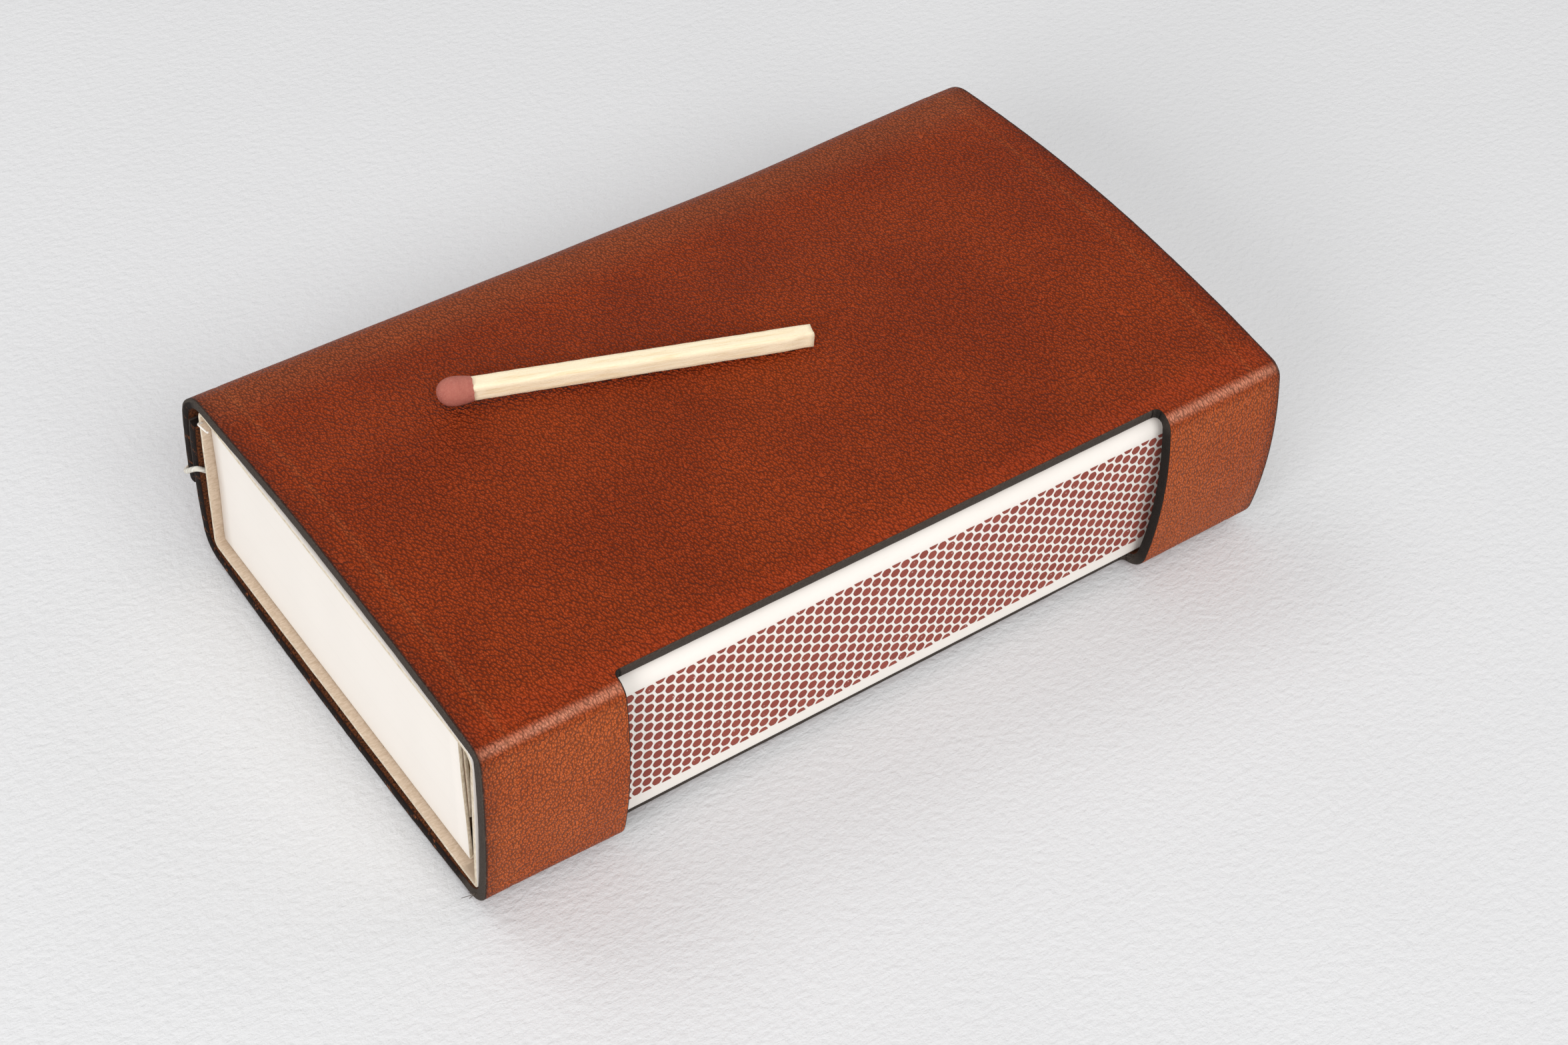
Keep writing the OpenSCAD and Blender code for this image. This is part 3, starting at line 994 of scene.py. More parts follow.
def copies_on(graph, points, shape, turn, seed):
    """Copies of a shape on points, each with a tone of its own between 0 and 1."""
    copies = graph.add("GeometryNodeInstanceOnPoints", None,
                       {"Points": points, "Instance": shape, "Rotation": turn})["Instances"]
    own = graph.add("FunctionNodeRandomValue", {"data_type": "FLOAT"},
                    {"Min_001": 0.0, "Max_001": 1.0, "Seed": seed})["Value_001"]
    return graph.add("GeometryNodeStoreNamedAttribute",
                     {"data_type": "FLOAT", "domain": "INSTANCE"},
                     {"Geometry": copies, "Name": "own_tone", "Value": own})["Geometry"]


def row_tree():
    """A row of copies along X, each a little astray, with one place left empty."""
    graph, sizes = new_tree("row_of_copies", {
        "Geometry": "Geometry", "Count": "Int", "Pitch": "Float", "Empty Place": "Int",
        "Stray": "Vector", "Turn": "Vector", "Seed": "Int", "Finish": "Material"})
    pitch = sizes["Pitch"]
    start = (1.0 - sizes["Count"]) * 0.5 * pitch
    line = graph.add("GeometryNodeMeshLine", {"mode": "OFFSET"}, {
        "Count": sizes["Count"],
        "Start Location": graph.joined(X=start), "Offset": graph.joined(X=pitch)})["Mesh"]
    index = graph.add("GeometryNodeInputIndex")["Index"]
    empty = graph.add("FunctionNodeCompare", {"data_type": "INT", "operation": "EQUAL"},
                      {"A_INT": index, "B_INT": sizes["Empty Place"]})["Result"]
    line = graph.add("GeometryNodeDeleteGeometry", {"domain": "POINT"},
                     {"Geometry": line, "Selection": empty})["Geometry"]
    either = {"Min": (-1.0, -1.0, -1.0), "Max": (1.0, 1.0, 1.0)}
    drift = graph.add("FunctionNodeRandomValue", {"data_type": "FLOAT_VECTOR"},
                      {**either, "Seed": sizes["Seed"]})["Value"]
    line = graph.add("GeometryNodeSetPosition", None, {
        "Geometry": line, "Offset": graph.vector("MULTIPLY", drift, sizes["Stray"])})["Geometry"]
    twist = graph.add("FunctionNodeRandomValue", {"data_type": "FLOAT_VECTOR"},
                      {**either, "Seed": sizes["Seed"] + 7})["Value"]
    copies = copies_on(graph, line, sizes["Geometry"],
                       graph.vector("MULTIPLY", twist, sizes["Turn"]), sizes["Seed"] + 13)
    return end_tree(graph, copies, sizes["Finish"])


def lattice_tree():
    """Copies on a lattice whose every other column is half a step up, cut off at its edge."""
    graph, sizes = new_tree("staggered_lattice", {
        "Geometry": "Geometry", "Columns": "Int", "Rows": "Int", "Column Pitch": "Float",
        "Row Pitch": "Float", "Lift": "Float", "Length": "Float", "Height": "Float",
        "Seed": "Int", "Finish": "Material"})
    columns, rows = sizes["Columns"], sizes["Rows"]
    wide, tall = sizes["Column Pitch"], sizes["Row Pitch"]
    grid = graph.add("GeometryNodeMeshGrid", None, {
        "Size X": (columns - 1.0) * wide, "Size Y": (rows - 1.0) * tall,
        "Vertices X": columns, "Vertices Y": rows})["Mesh"]
    spot = graph.add("GeometryNodeInputPosition")["Position"]
    column = (graph.split(spot)["X"] / wide + (columns - 1.0) * 0.5).math("ROUND")
    shift = (column.math("MODULO", 2.0) * 0.5 * tall) + sizes["Lift"]
    grid = graph.add("GeometryNodeSetPosition", None,
                     {"Geometry": grid, "Offset": graph.joined(Y=shift)})["Geometry"]
    copies = copies_on(graph, grid, sizes["Geometry"], (0.0, 0.0, 0.0), sizes["Seed"])
    real = graph.add("GeometryNodeRealizeInstances", None, {"Geometry": copies})["Geometry"]
    parts = graph.split(graph.add("GeometryNodeInputPosition")["Position"])
    edge_x, edge_y = sizes["Length"] * 0.5, sizes["Height"] * 0.5
    inside = graph.joined(X=parts["X"].math("MINIMUM", edge_x).math("MAXIMUM", 0.0 - edge_x),
                          Y=parts["Y"].math("MINIMUM", edge_y).math("MAXIMUM", 0.0 - edge_y),
                          Z=parts["Z"])
    real = graph.add("GeometryNodeSetPosition", None,
                     {"Geometry": real, "Position": inside})["Geometry"]
    return end_tree(graph, real, sizes["Finish"])


def grown(tree, points, faces, attributes, **sizes):
    """The mesh, in mm, that a tree makes of one shape and its attributes."""
    mesh = bpy.data.meshes.new("one_copy")
    mesh.from_pydata([tuple(point) for point in points], [], faces)
    for key, values in attributes.items():
        layer = mesh.attributes.new(key, "FLOAT_VECTOR", "POINT")
        layer.data.foreach_set("vector", np.asarray(values, np.float32).ravel())
    holder = bpy.data.objects.new("one_copy", mesh)
    SCENE.collection.objects.link(holder)
    modifier = holder.modifiers.new("copies", "NODES")
    modifier.node_group = tree
    for socket in tree.interface.items_tree:
        if socket.in_out == "INPUT" and socket.name in sizes:
            modifier[socket.identifier] = sizes[socket.name]
    evaluated = holder.evaluated_get(bpy.context.evaluated_depsgraph_get())
    result = bpy.data.meshes.new_from_object(evaluated)
    holder.modifiers.clear()
    bpy.data.objects.remove(holder)
    return result


def moved(mesh, mapping):
    """Moves a mesh's points, in mm, by a mapping of arrays, and settles them in the frame."""
    places = np.empty(len(mesh.vertices) * 3)
    mesh.vertices.foreach_get("co", places)
    mesh.vertices.foreach_set("co", settled(mapping(places.reshape(-1, 3))).ravel())
    mesh.update()
    return mesh


ROW = row_tree()
LATTICE = lattice_tree()


# Card sleeve

# Radii of the sleeve's corners: the lower front one is a sharp crease
SLEEVE_CORNERS = (0.6, 2.0, 1.3, 1.1)
# How far its panels bow
SLEEVE_BOW = 0.07
# The ply glued inside its front wall: its height, and the glue's thickness
GLUE_LAP = 16.0
GLUE = 0.02
# Radius of the curl of torn paper at its left end
CURL_RADIUS = 0.13


def sleeve_columns():
    half = BOX.x / 2
    inner = np.linspace(-half + 1.2, half - 1.2, 46)
    return np.concatenate([[-half, -half + 0.5], inner, [half - 0.5, half]])


def make_sleeve(material):
    half_y, half_z = BOX.y / 2, BOX.z / 2
    low_front, high_front, high_back, low_back = SLEEVE_CORNERS
    path = rounded_path([(-half_y, -half_z, low_front), (-half_y, half_z, high_front),
                         (half_y, half_z, high_back), (half_y, -half_z, low_back)])
    bow = ripple(12, (23, 37, 61))

    def spot(x, point, normal, depth):
        on_panel = abs(point.x) < half_y - 0.1
        wave = SLEEVE_BOW * bow(x, point.x + point.y) if on_panel else 0.0
        return x, point.x - normal.x * depth, point.y - normal.y * depth + wave * abs(normal.y)

    columns = sleeve_columns()
    sheets = Sheets()
    sheets.add([[spot(x, point, normal, 0) for x in columns] for point, normal in path],
               [[spot(x, point, normal, BOARD) for x in columns] for point, normal in path],
               closed=True, fray=0.05)
    face = -half_y + BOARD + GLUE
    short = columns * (1 - 0.5 / BOX.x)
    heights = np.linspace(-GLUE_LAP / 2, GLUE_LAP / 2, 9)
    sheets.add([[(x, face, z) for x in short] for z in heights],
               [[(x, face + BOARD, z) for x in short] for z in heights], fray=0.08)
    # A curl of torn paper at the left end's upper back corner
    end = -BOX.x / 2
    knots = [(end + 0.2, half_y - 0.6, half_z - 1.8), (end - 0.5, half_y - 0.9, half_z - 1.5),
             (end - 0.6, half_y - 1.8, half_z - 1.2), (end - 0.3, half_y - 2.6, half_z - 1.5),
             (end - 0.4, half_y - 3.2, half_z - 1.0)]
    spots, faces, _ = swept(smooth_path(knots, 4), CURL_RADIUS, 6)
    sheets.shape(spots, faces, [(0, 0, tuple(spot)) for spot in spots])
    piece = sheets.piece("card_sleeve", "card_box", "white_card", material)
    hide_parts("box_sleeve")


# Strikers

# A dot's diameter and thickness, and the lattice of the dots
DOT = 1.27
DOT_THICKNESS = 0.07
DOT_ROW_PITCH = 1.586
DOT_COLUMN_PITCH = 1.374
DOT_ROWS = 12
# How far the print ends before the strip does
DOT_SHY = 1.2
# Scale and height of the rings of points that make a dot
DOT_RINGS = [(1.0, -0.02), (1.0, 0.04), (0.8, DOT_THICKNESS)]
DOT_SIDES = 12


def make_striker(name, side, material):
    strip = strip_high - strip_low
    points = []
    for scale, height in DOT_RINGS:
        for i in range(DOT_SIDES):
            turn = 2 * math.pi * i / DOT_SIDES
            radius = DOT / 2 * scale * (1 + 0.03 * math.cos(6 * turn))
            points.append((radius * math.cos(turn), radius * math.sin(turn), height))
    rings = len(DOT_RINGS)
    faces = tube_faces(rings, DOT_SIDES) + end_faces(rings, DOT_SIDES)
    on_dot = [(x, y, 0) for x, y, _ in points]
    columns = int(strip.x / DOT_COLUMN_PITCH) + 1
    mesh = grown(LATTICE, points, faces, {"on_dot": on_dot}, Columns=columns, Rows=DOT_ROWS,
                 **{"Column Pitch": DOT_COLUMN_PITCH, "Row Pitch": DOT_ROW_PITCH,
                    "Lift": -DOT_ROW_PITCH / 4, "Length": strip.x - 2 * DOT_SHY,
                    "Height": strip.z, "Seed": 4, "Finish": material})

    def upright(flat):
        return np.stack([-side * flat[:, 0], side * (BOX.y / 2 + flat[:, 2]), flat[:, 1]], 1)
    piece = finished(name + "_dots", moved(mesh, upright), "card_box", "striking_coat", material,
                     smooth=False)
    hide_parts(name)


# Tray

# Radius of the folds along its floor, and how far an end wall's lip goes down inside
TRAY_FOLD = 1.3
END_LIP = 14.0
# Radii of the folds at an end wall's foot and top
END_FOLD = 0.35
TOP_FOLD = 0.53
# Gaps in front of the end walls, the left one growing with height, and their reach at the back
LEFT_GAP = 1.5
LEFT_GAP_GROWTH = 1.8
RIGHT_GAP = 0.4
END_BACK_REACH = 0.25
# How far the tray's sides wave and its end walls bulge
SIDE_WAVE = 0.12
END_BULGE = 0.16
# How far its sides end before the end walls' faces, and how much further its floor does
SIDES_SHORT = 0.4
FLOOR_SHORT = 0.5


def tray_section(front, back, floor, rim):
    """The tray's floor and long sides as points and outward normals, open at the top."""
    above = rim + 9
    section = rounded_path([(front, floor, TRAY_FOLD), (front, above, 0.1),
                            (back, above, 0.1), (back, floor, TRAY_FOLD)], 2.2)
    start = next(k for k, (point, _) in enumerate(section)
                 if point.y < rim and section[k - 1][0].y >= rim)
    section = [item for item in section[start:] + section[:start] if item[0].y < rim]
    top_back = (Vector((back, rim)), Vector((1.0, 0.0)))
    top_front = (Vector((front, rim)), Vector((-1.0, 0.0)))
    return [top_back] + section + [top_front]


def end_wall(end, floor, rim):
    """Points and outward ways, in X and Z, up an end wall, over its top and down its lip."""
    profile = [(end - 2.4, floor, 0.0, -1.0), (end - END_FOLD - 0.1, floor, 0.0, -1.0)]
    profile += [(end + END_FOLD * (math.sin(turn) - 1), floor + END_FOLD * (1 - math.cos(turn)),
                 math.sin(turn), -math.cos(turn)) for turn in np.linspace(0.2, math.pi / 2, 6)]
    profile += [(end, z, 1.0, 0.0) for z in np.linspace(floor + 1.5, rim - 0.9, 9)]
    profile += [(end - TOP_FOLD + TOP_FOLD * math.cos(turn),
                 rim - TOP_FOLD + TOP_FOLD * math.sin(turn), math.cos(turn), math.sin(turn))
                for turn in np.linspace(0.0, math.pi, 9)]
    profile += [(end - 2 * TOP_FOLD, z, -1.0, 0.0)
                for z in np.linspace(rim - 1.8, rim - END_LIP, 6)]
    return profile


def make_tray(material):
    low, high = tray_low - MIDDLE, tray_high - MIDDLE
    front, back, floor, rim, end = low.y, high.y, low.z, high.z, high.x
    sag = ripple(21, (29, 47, 83))

    def spot(share, point, normal, depth):
        under = min(1.0, max(0.0, (min(point.x - front, back - point.x) - 0.2) / 1.5))
        x = share * (end - SIDES_SHORT - FLOOR_SHORT * under)
        wave = SIDE_WAVE * sag(x, 5 * normal.x) * (point.y - floor) / (rim - floor)
        return (x, point.x - normal.x * depth - wave * abs(normal.x),
                point.y - normal.y * depth)

    section = tray_section(front, back, floor, rim)
    shares = np.concatenate([[-1.0, -0.99], np.linspace(-0.975, 0.975, 40), [0.99, 1.0]])
    sheets = Sheets()
    sheets.add([[spot(share, point, normal, 0) for share in shares]
                for point, normal in section],
               [[spot(share, point, normal, BOARD) for share in shares]
                for point, normal in section], fray=0.04)

    curl = ripple(17, (9, 14, 23))
    for way in (-1, 1):
        outer, inner = [], []
        for x, z, out_x, out_z in end_wall(end, floor, rim):
            height = min(1.0, max(0.0, (z - floor) / (rim - floor)))
            gap = RIGHT_GAP if way > 0 else LEFT_GAP + LEFT_GAP_GROWTH * height
            spread = np.linspace(front + BOARD + gap, back + END_BACK_REACH, 26)
            push = [END_BULGE * curl(y + 40 * way, z) * math.sin(math.pi * height)
                    for y in spread]
            outer.append([(way * (x + bend * out_x), y, z) for y, bend in zip(spread, push)])
            inner.append([(way * (x + bend * out_x - BOARD * out_x), y, z - BOARD * out_z)
                          for y, bend in zip(spread, push)])
        sheets.add(outer, inner, fray=0.03)
    piece = sheets.piece("card_tray", "tray", "white_card", material)
    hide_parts("tray")


# Matches

# A match's length, and the side of its stick
MATCH_LENGTH = 47.0
STICK = 2.25
# How far a stick's worn corners stand from its middle, as a share of half its side
STICK_CORNER = 1.34
# A head's diameter and length, and how far it goes past the stick
HEAD = 3.4
HEAD_LENGTH = 4.2
HEAD_TIP = 0.9
# A head's radius at its foot, as a share of its diameter
HEAD_FOOT = 0.43
# The matches in the tray: their pitch, their tails' gap from its front, and their layers
MATCH_PITCH = 3.5
TAIL_GAP = 2.5
LAYERS = 5
# The place that the loose match has left empty
TAKEN_LAYER = 5
TAKEN_MATCH = 11


def stick_shape(length, stations, sides, wear, seed):
    """A square split stick along X with rounded, slightly uneven edges."""
    uneven = ripple(seed, (11, 5.3, 2.9, 1.7))
    points = []
    half = STICK / 2
    for k in range(stations):
        x = length * k / (stations - 1)
        for i in range(sides):
            turn = 2 * math.pi * (i + 0.5) / sides
            c, s = math.cos(turn), math.sin(turn)
            reach = half * (1 + wear * uneven(x, turn * 3)) / max(abs(c), abs(s))
            reach = min(reach, half * STICK_CORNER)
            points.append((x, c * reach, s * reach))
    return points, tube_faces(stations, sides) + end_faces(stations, sides)


def head_shape(rings, sides, diameter, seed, wear):
    """A match head along X whose foot meets the stick and whose far end is round."""
    lump = ripple(seed, (1.9, 1.1, 3.1))
    points = []
    start = MATCH_LENGTH - HEAD_LENGTH
    neck = diameter * HEAD_FOOT
    for k in range(rings):
        turn = math.pi * (0.5 - 0.5 * math.cos(math.pi * (k + 1) / (rings + 1)))
        share = 0.5 - 0.5 * math.cos(turn)
        x = start + HEAD_LENGTH * share
        widened = math.sin(min(1.0, share / 0.5) * math.pi / 2)
        taper = math.sqrt(max(0.0, 1 - (2 * share - 1) ** 2)) if share > 0.5 else 1.0
        radius = (neck + (diameter / 2 - neck) * widened) * taper ** 0.85
        for i in range(sides):
            angle = 2 * math.pi * i / sides
            size = radius * (1 + wear * lump(x, angle * 1.2))
            foot = 0.14 * lump(angle * 2, 3) * max(0.0, 1 - share * 5)
            points.append((x + foot, math.cos(angle) * size, math.sin(angle) * size))
    faces = tube_faces(rings, sides)
    last_ring, tip = (rings - 1) * sides, rings * sides
    points += [(start + HEAD_LENGTH, 0.0, 0.0), (start + 0.1, 0.0, 0.0)]
    faces += [[last_ring + i, last_ring + (i + 1) % sides, tip] for i in range(sides)]
    faces += [[(i + 1) % sides, i, tip + 1] for i in range(sides)]
    return points, faces


def make_tray_matches(wood, compound):
    low, high = tray_low - MIDDLE, tray_high - MIDDLE
    row = int((high.x - low.x - 4 * BOARD) / MATCH_PITCH)
    shapes = {"sticks": (stick_shape(MATCH_LENGTH - HEAD_TIP, 5, 8, 0.03, 2), wood,
                         "match_wood"),
              "heads": (head_shape(5, 10, HEAD, 6, 0.03), compound, "head_compound")}
    for layer in range(1, LAYERS + 1):
        even = layer % 2 == 0
        height = low.z + BOARD + 0.1 + HEAD / 2 + (layer - 1) * MATCH_PITCH * math.sqrt(3) / 2
        tail = low.y + BOARD + TAIL_GAP

        def across(flat, height=height, tail=tail):
            return np.stack([flat[:, 0], flat[:, 1] + tail, flat[:, 2] + height], 1)
        for kind, ((points, faces), material, slot) in shapes.items():
            turned = [(-y, x, z) for x, y, z in points]
            roll = 0.35 if kind == "sticks" else 3.0
            mesh = grown(ROW, turned, faces, {"grain": points},
                         Count=row - 1 if even else row, Pitch=MATCH_PITCH, Seed=layer * 3,
                         Stray=(0.03, 0.7, 0.02), Turn=(0.0, roll, 0.003), Finish=material,
                         **{"Empty Place": TAKEN_MATCH if layer == TAKEN_LAYER else -1})
            piece = finished("tray_match_%s_%d" % (kind, layer), moved(mesh, across), "tray",
                             slot, material)
            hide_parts("match_%s_%d" % (kind, layer))


# Where the loose match's tail lies, its turn in degrees, and its gap over the leather
LOOSE_TAIL = (9.8, 0.4)
LOOSE_TURN = 17.9
LOOSE_GAP = 0.12
# How much shorter its stick is at the tail
LOOSE_CUT = 0.5
# How deep its tail's hollow is, and how much the splinter took from its side and underside
TAIL_HOLLOW = 0.22
SPLINTER_SIDE = 0.35
SPLINTER_UNDER = 0.10


def loose_matrix():
    """Stands a match drawn along X on the leather's crown, with its head to the left."""
    def top(y):
        return TOP_CENTRE.y + math.sqrt(TOP_RADIUS ** 2 - (y - TOP_CENTRE.x) ** 2)
    turn = math.radians(LOOSE_TURN)
    reach = MATCH_LENGTH - HEAD_LENGTH / 2
    low = top(LOOSE_TAIL[1]) + LOOSE_GAP + STICK / 2
    high = top(LOOSE_TAIL[1] + reach * math.sin(turn)) + LOOSE_GAP + HEAD / 2
    tilt = math.asin((high - low) / reach)
    return (Matrix.Translation((LOOSE_TAIL[0], LOOSE_TAIL[1] - LEAN * low, low))
            @ Matrix.Rotation(math.pi - turn, 4, "Z") @ Matrix.Rotation(-tilt, 4, "Y"))


def make_loose_match(wood, compound):
    seat = loose_matrix()
    points, faces = stick_shape(MATCH_LENGTH - HEAD_TIP, 70, 24, 0.022, 9)
    shaped = []
    for x, y, z in points:
        x = LOOSE_CUT + x * (1 - LOOSE_CUT / MATCH_LENGTH)
        # The tail is cut a little hollow, and a splinter is gone from its lower edge
        hollow = TAIL_HOLLOW * max(0.0, 1 - x / 0.9) * (1 - (y / (STICK / 2)) ** 2)
        splinter = math.exp(-((x - 1.6) / 1.5) ** 2) * max(0.0, y / (STICK / 2)) ** 3
        shaped.append((x + hollow, y - SPLINTER_SIDE * splinter, z - SPLINTER_UNDER * splinter))
    stick = new_object("loose_stick", settled([seat @ Vector(point) for point in shaped]), faces,
                       "loose_match", "match_wood", wood, {"grain": points})
    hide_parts("loose_match_stick")
    points, faces = head_shape(22, 32, HEAD + 0.12, 6, 0.012)
    head = new_object("loose_head", settled([seat @ Vector(point) for point in points]), faces,
                      "loose_match", "head_compound", compound, {"grain": points})
    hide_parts("loose_match_head")


# Seam thread

# Direction of the seam from the back's centre, and the radius of the lap's inner face
LINE_ANGLE = -math.asin((FLAP_EDGE_DROP - STITCH_INSET) / FLAP_RADIUS)
INSIDE_RADIUS = BACK_RADIUS - LEATHER


def at_line(spot, radius=0.0, turned=1):
    """Place about the card box's middle of a spot whose Y leaves the back at the seam."""
    x, out, up = spot
    out = radius + turned * out
    return (x, BACK_CENTRE.x + out * math.cos(LINE_ANGLE) - up * math.sin(LINE_ANGLE),
            out * math.sin(LINE_ANGLE) + up * math.cos(LINE_ANGLE))


def end_loop(way):
    """Route of the loop of thread round one end of the lap."""
    end, outside, inside = COVER_LENGTH / 2, FLAP_RADIUS, INSIDE_RADIUS
    knots = [(end - STITCH_END, outside - 0.5, 0.0),
             (end - STITCH_END + 0.3, outside + 0.25, 0.0),
             (end - 1.2, outside + 0.36, -0.4), (end - 0.1, outside + 0.34, -0.6),
             (end + 0.34, outside - 0.3, -0.3), (end + 0.38, inside + 1.6, 0.8),
             (end + 0.34, inside + 0.3, 2.0), (end - 0.1, inside - 0.32, 2.3),
             (end - 1.6, inside - 0.42, 1.2), (end - STITCH_END, inside + 0.5, 0.1)]
    return smooth_path([(way * x, out, up) for x, out, up in knots], 5)


def make_thread(material):
    half = STITCH_STEP / 2 - 0.12
    knots = [(-half, -0.55), (-half + 0.08, -0.12), (-half + 0.38, 0.24), (-half + 1.0, 0.33),
             (half - 1.0, 0.33), (half - 0.38, 0.24), (half - 0.08, -0.12), (half, -0.55)]
    path = smooth_path([(x, lift, -0.10 * x / half) for x, lift in knots], 3)
    points, faces, strand = swept(path, THREAD / 2, 8)
    seam = Gathered("strand")
    for radius, turned in ((FLAP_RADIUS, 1), (INSIDE_RADIUS, -1)):
        mesh = grown(ROW, points, faces, {"strand": strand}, Count=STITCHES, Pitch=STITCH_STEP,
                     Seed=31, Stray=(0.0, 0.02, 0.04), Turn=(0.0, 0.03, 0.0), Finish=material,
                     **{"Empty Place": -1})
        seam.shape([at_line(vertex.co, radius, turned) for vertex in mesh.vertices],
                   [list(face.vertices) for face in mesh.polygons],
                   [(tuple(item.vector),) for item in mesh.attributes["strand"].data])
    for way in (-1, 1):
        points, faces, strand = swept(end_loop(way), THREAD / 2 + 0.03, 10)
        seam.shape([at_line(spot) for spot in points], faces, [(item,) for item in strand])
    piece = new_object("waxed_stitches", settled(sagged(seam.points)), seam.faces, "cover",
                       "waxed_thread", material, seam.attributes)
    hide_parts("seam_thread")


# Finishes of card, strikers, matches and thread

def paint_card(graph):
    place = graph.attribute("sheet", "Vector")
    cut = graph.attribute("cut")
    inner = graph.attribute("inner")
    board = inner.between(0.2, 0.8)
    pulp = graph.noise(place, 1.4, 5.0, 0.7)
    fibres = graph.noise(graph.vector("MULTIPLY", place, (1.0, 3.2, 1.0)), 1.1, 5.0, 0.65, 0.8)
    specks = 1.0 - graph.cells(place, 0.55).between(0.03, 0.09)
    broad = graph.noise(place, 0.06, 2.0)
    white = graph.blend(broad, linear(235, 228, 220), linear(241, 235, 228))
    white = graph.blend(0.10 * fibres.between(0.5, 0.8), white, linear(205, 194, 176))
    grey = graph.blend(fibres.between(0.3, 0.7), linear(186, 163, 139), linear(210, 190, 168))
    grey = graph.blend(0.5 * specks, grey, linear(120, 100, 78))
    layers = graph.blend(pulp.between(0.35, 0.65), linear(196, 180, 154), linear(226, 214, 194))
    tone = graph.blend(board, white, grey)
    tone = graph.blend(cut.between(0.3, 0.7), tone, layers)
    relief = 0.4 * fibres + 0.6 * pulp
    return {"Base Color": tone, "Roughness": 0.55 + 0.25 * board,
            "Normal": bump(graph, relief * (0.25 + 0.75 * board), 0.00006)}


def paint_dots(graph):
    place = object_mm(graph)
    on_dot = graph.attribute("on_dot", "Vector")
    own = graph.attribute("own_tone")
    from_middle = graph.add("ShaderNodeVectorMath", {"operation": "LENGTH"}, {0: on_dot})["Value"]
    rim = from_middle.between(0.42, 0.62)
    grit = graph.noise(place, 9.0, 3.0, 0.7)
    glint_speck = 1.0 - graph.cells(place, 1.1).between(0.06, 0.14)
    tone = graph.blend(own, linear(141, 70, 60), linear(153, 79, 67))
    tone = graph.blend(0.5 * grit.between(0.35, 0.7), tone, linear(136, 66, 54))
    tone = graph.blend(0.35 * rim, tone, linear(124, 58, 48))
    # Pale specks painted as tiny highlights
    tone = graph.blend(0.8 * glint_speck, tone, linear(214, 190, 182))
    return {"Base Color": tone, "Roughness": 0.72 + 0.2 * grit,
            "Normal": bump(graph, grit, 0.00005)}


def paint_wood(graph):
    place = graph.attribute("grain", "Vector")
    own = graph.attribute("own_tone")
    place = graph.vector("ADD", place, graph.joined(X=40.0 * own, Y=9.0 * own))
    rays = graph.noise(graph.vector("MULTIPLY", place, (0.12, 1.6, 1.6)), 1.5, 4.0, 0.6, 0.4)
    pores = graph.noise(graph.vector("MULTIPLY", place, (0.5, 6.0, 6.0)), 1.6, 3.0, 0.7)
    fur = graph.noise(graph.vector("MULTIPLY", place, (2.0, 9.0, 9.0)), 2.0, 2.0)
    tone = graph.blend(own, linear(249, 232, 200), linear(243, 220, 182))
    tone = graph.blend(0.55 * rays.between(0.45, 0.75), tone, linear(228, 196, 142))
    tone = graph.blend(0.35 * pores.between(0.62, 0.8), tone, linear(214, 180, 128))
    relief = 0.6 * pores + 0.4 * fur
    return {"Base Color": tone, "Roughness": 0.55 + 0.2 * pores,
            "Normal": bump(graph, relief, 0.00009)}


def paint_compound(graph):
    place = object_mm(graph)
    own = graph.attribute("own_tone")
    lumps = graph.noise(place, 1.6, 4.0, 0.6)
    grit = graph.noise(place, 9.0, 3.0, 0.7)
    dust = graph.noise(place, 4.0, 4.0, 0.7).between(0.5, 0.8)
    tone = graph.blend(own, linear(179, 107, 92), linear(168, 97, 83))
    tone = graph.blend(0.4 * lumps.between(0.35, 0.7), tone, linear(160, 86, 76))
    tone = graph.blend(0.45 * dust, tone, linear(206, 142, 128))
    return {"Base Color": tone, "Roughness": 0.66 + 0.2 * grit,
            "Normal": bump(graph, 0.5 * lumps + 0.5 * grit, 0.00018)}


def paint_thread(graph):
    split = graph.split(graph.attribute("strand", "Vector"))
    twist = (split["X"] * 5.2 + split["Y"]).math("SINE")
    place = object_mm(graph)
    fuzz = graph.noise(place, 7.0, 3.0, 0.7)
    stain = graph.noise(place, 0.5, 2.0).between(0.52, 0.72)
    tone = graph.blend(fuzz, linear(216, 212, 200), linear(236, 234, 226))
    tone = graph.blend(0.35 * (1.0 - twist).clamped(), tone, linear(172, 160, 140))
    tone = graph.blend(0.5 * stain, tone, linear(196, 138, 82))
    return {"Base Color": tone, "Roughness": 0.6 + 0.2 * fuzz,
            "Normal": bump(graph, 0.5 * twist + 0.3 * fuzz, 0.00008)}


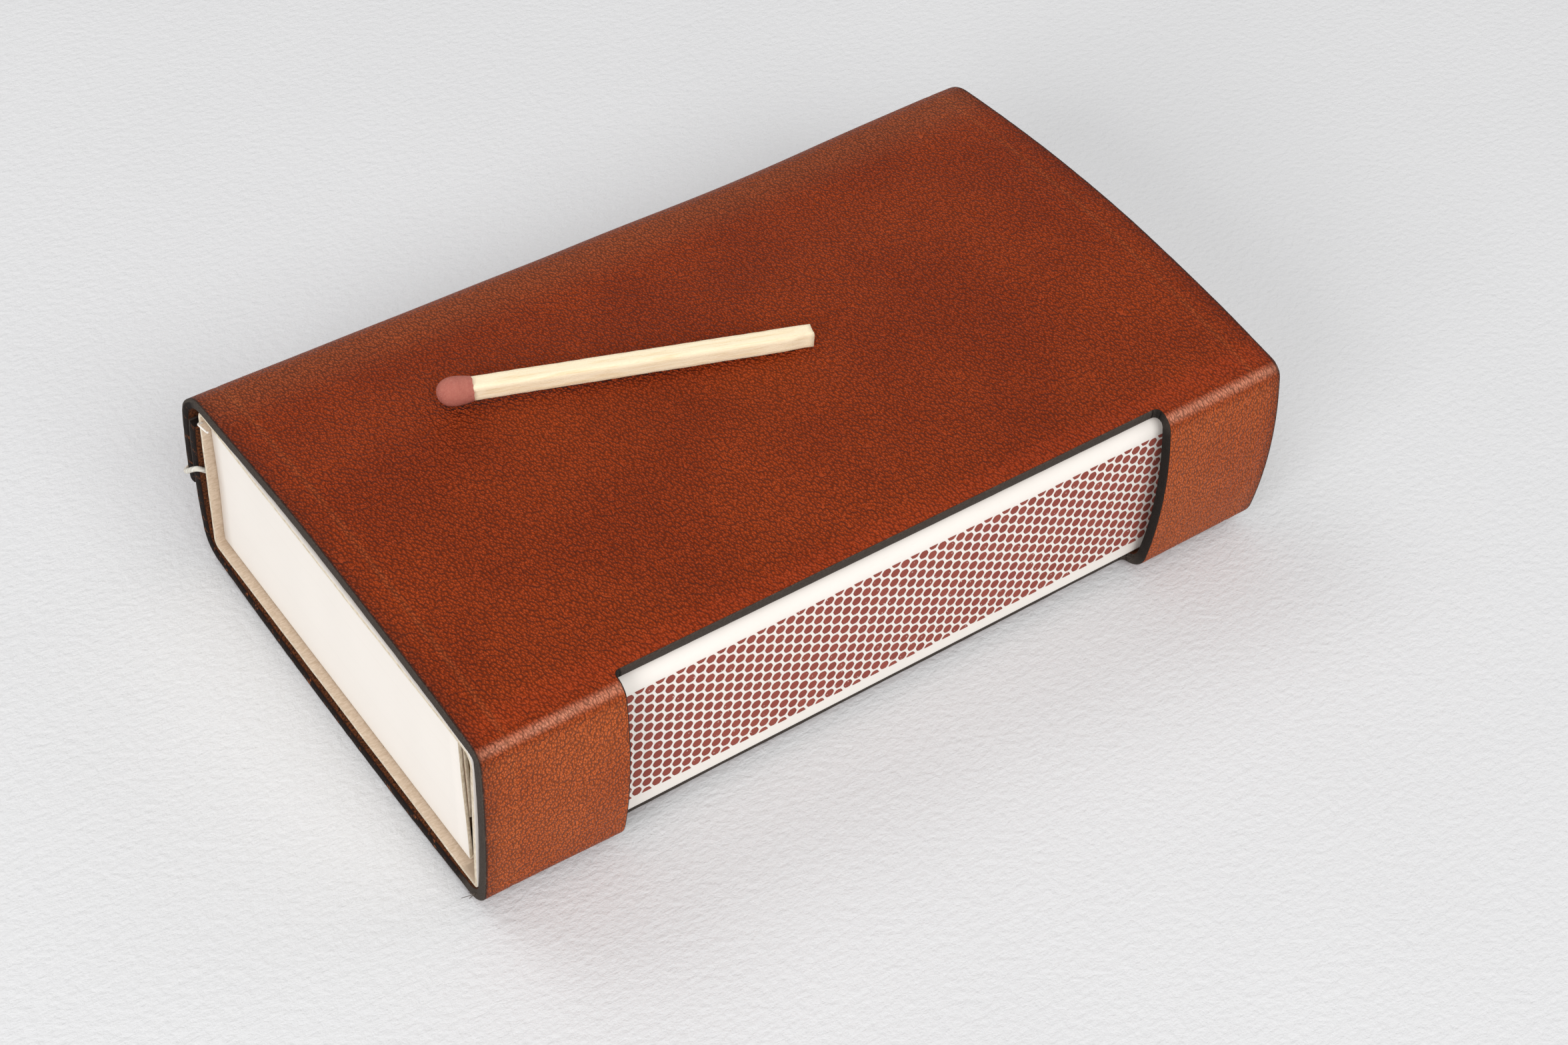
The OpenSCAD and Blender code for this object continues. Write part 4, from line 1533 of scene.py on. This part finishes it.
leather = new_material("saddle_tan_leather", paint_leather, Specular_IOR_Level=0.16)
make_cover(leather)
card = new_material("coated_card", paint_card, Specular_IOR_Level=0.35)
dots = new_material("striking_dots", paint_dots, Specular_IOR_Level=0.25)
wood = new_material("aspen_splint", paint_wood, Specular_IOR_Level=0.3)
compound = new_material("match_compound", paint_compound, Specular_IOR_Level=0.25)
thread = new_material("waxed_linen", paint_thread, Specular_IOR_Level=0.4)
make_sleeve(card)
make_striker("front_striker", -1, dots)
make_striker("rear_striker", 1, dots)
make_tray(card)
make_tray_matches(wood, compound)
make_loose_match(wood, compound)
make_thread(thread)


# Floor, light and background, in metres

FLOOR_HALF = 3.0
WORLD_LEVEL = 0.52
# Name, place, size and power in watts of each lamp, which faces the holder
LAMPS = [
    ("front_light", (-0.08, -0.76, 0.74), (0.7, 0.5), 4.7),
    ("window_light", (-0.25, 0.50, 0.70), (0.45, 0.35), 1.3),
    ("left_light", (-0.85, -0.40, 0.50), (0.5, 0.4), 4.9),
    ("right_light", (0.80, -0.10, 0.60), (0.5, 0.4), 0.9),
]


def paint_floor(graph):
    place = object_mm(graph)
    pulp = graph.noise(graph.vector("MULTIPLY", place, (0.7, 1.0, 1.0)), 1.1, 6.0, 0.62)
    soft = graph.noise(place, 0.02, 2.0)
    tone = graph.blend(soft, linear(216, 216, 217), linear(222, 222, 223))
    return {"Base Color": tone, "Normal": bump(graph, pulp, 0.00027)}


def make_floor():
    half = FLOOR_HALF
    mesh = bpy.data.meshes.new("floor")
    mesh.from_pydata([(-half, -half, 0), (half, -half, 0), (half, half, 0), (-half, half, 0)],
                     [], [(0, 1, 2, 3)])
    mesh.materials.append(new_material("pale_paper", paint_floor, Roughness=0.9))
    floor = bpy.data.objects.new("floor", mesh)
    SCENE.collection.objects.link(floor)


def make_lamp(name, place, size, power):
    data = bpy.data.lights.new(name, "AREA")
    data.shape = "RECTANGLE"
    data.size, data.size_y = size
    data.energy = power
    lamp = bpy.data.objects.new(name, data)
    lamp.location = place
    lamp.rotation_mode = "QUATERNION"
    lamp.rotation_quaternion = Vector(place).to_track_quat("Z", "Y")
    SCENE.collection.objects.link(lamp)


def make_world():
    world = bpy.data.worlds.new("studio")
    SCENE.world = world
    world.use_nodes = True
    background = world.node_tree.nodes["Background"]
    background.inputs["Strength"].default_value = WORLD_LEVEL
    background.inputs["Color"].default_value = (1.0, 1.0, 1.0, 1.0)


make_floor()
for lamp in LAMPS:
    make_lamp(*lamp)
make_world()
SCENE.view_settings.view_transform = "Standard"
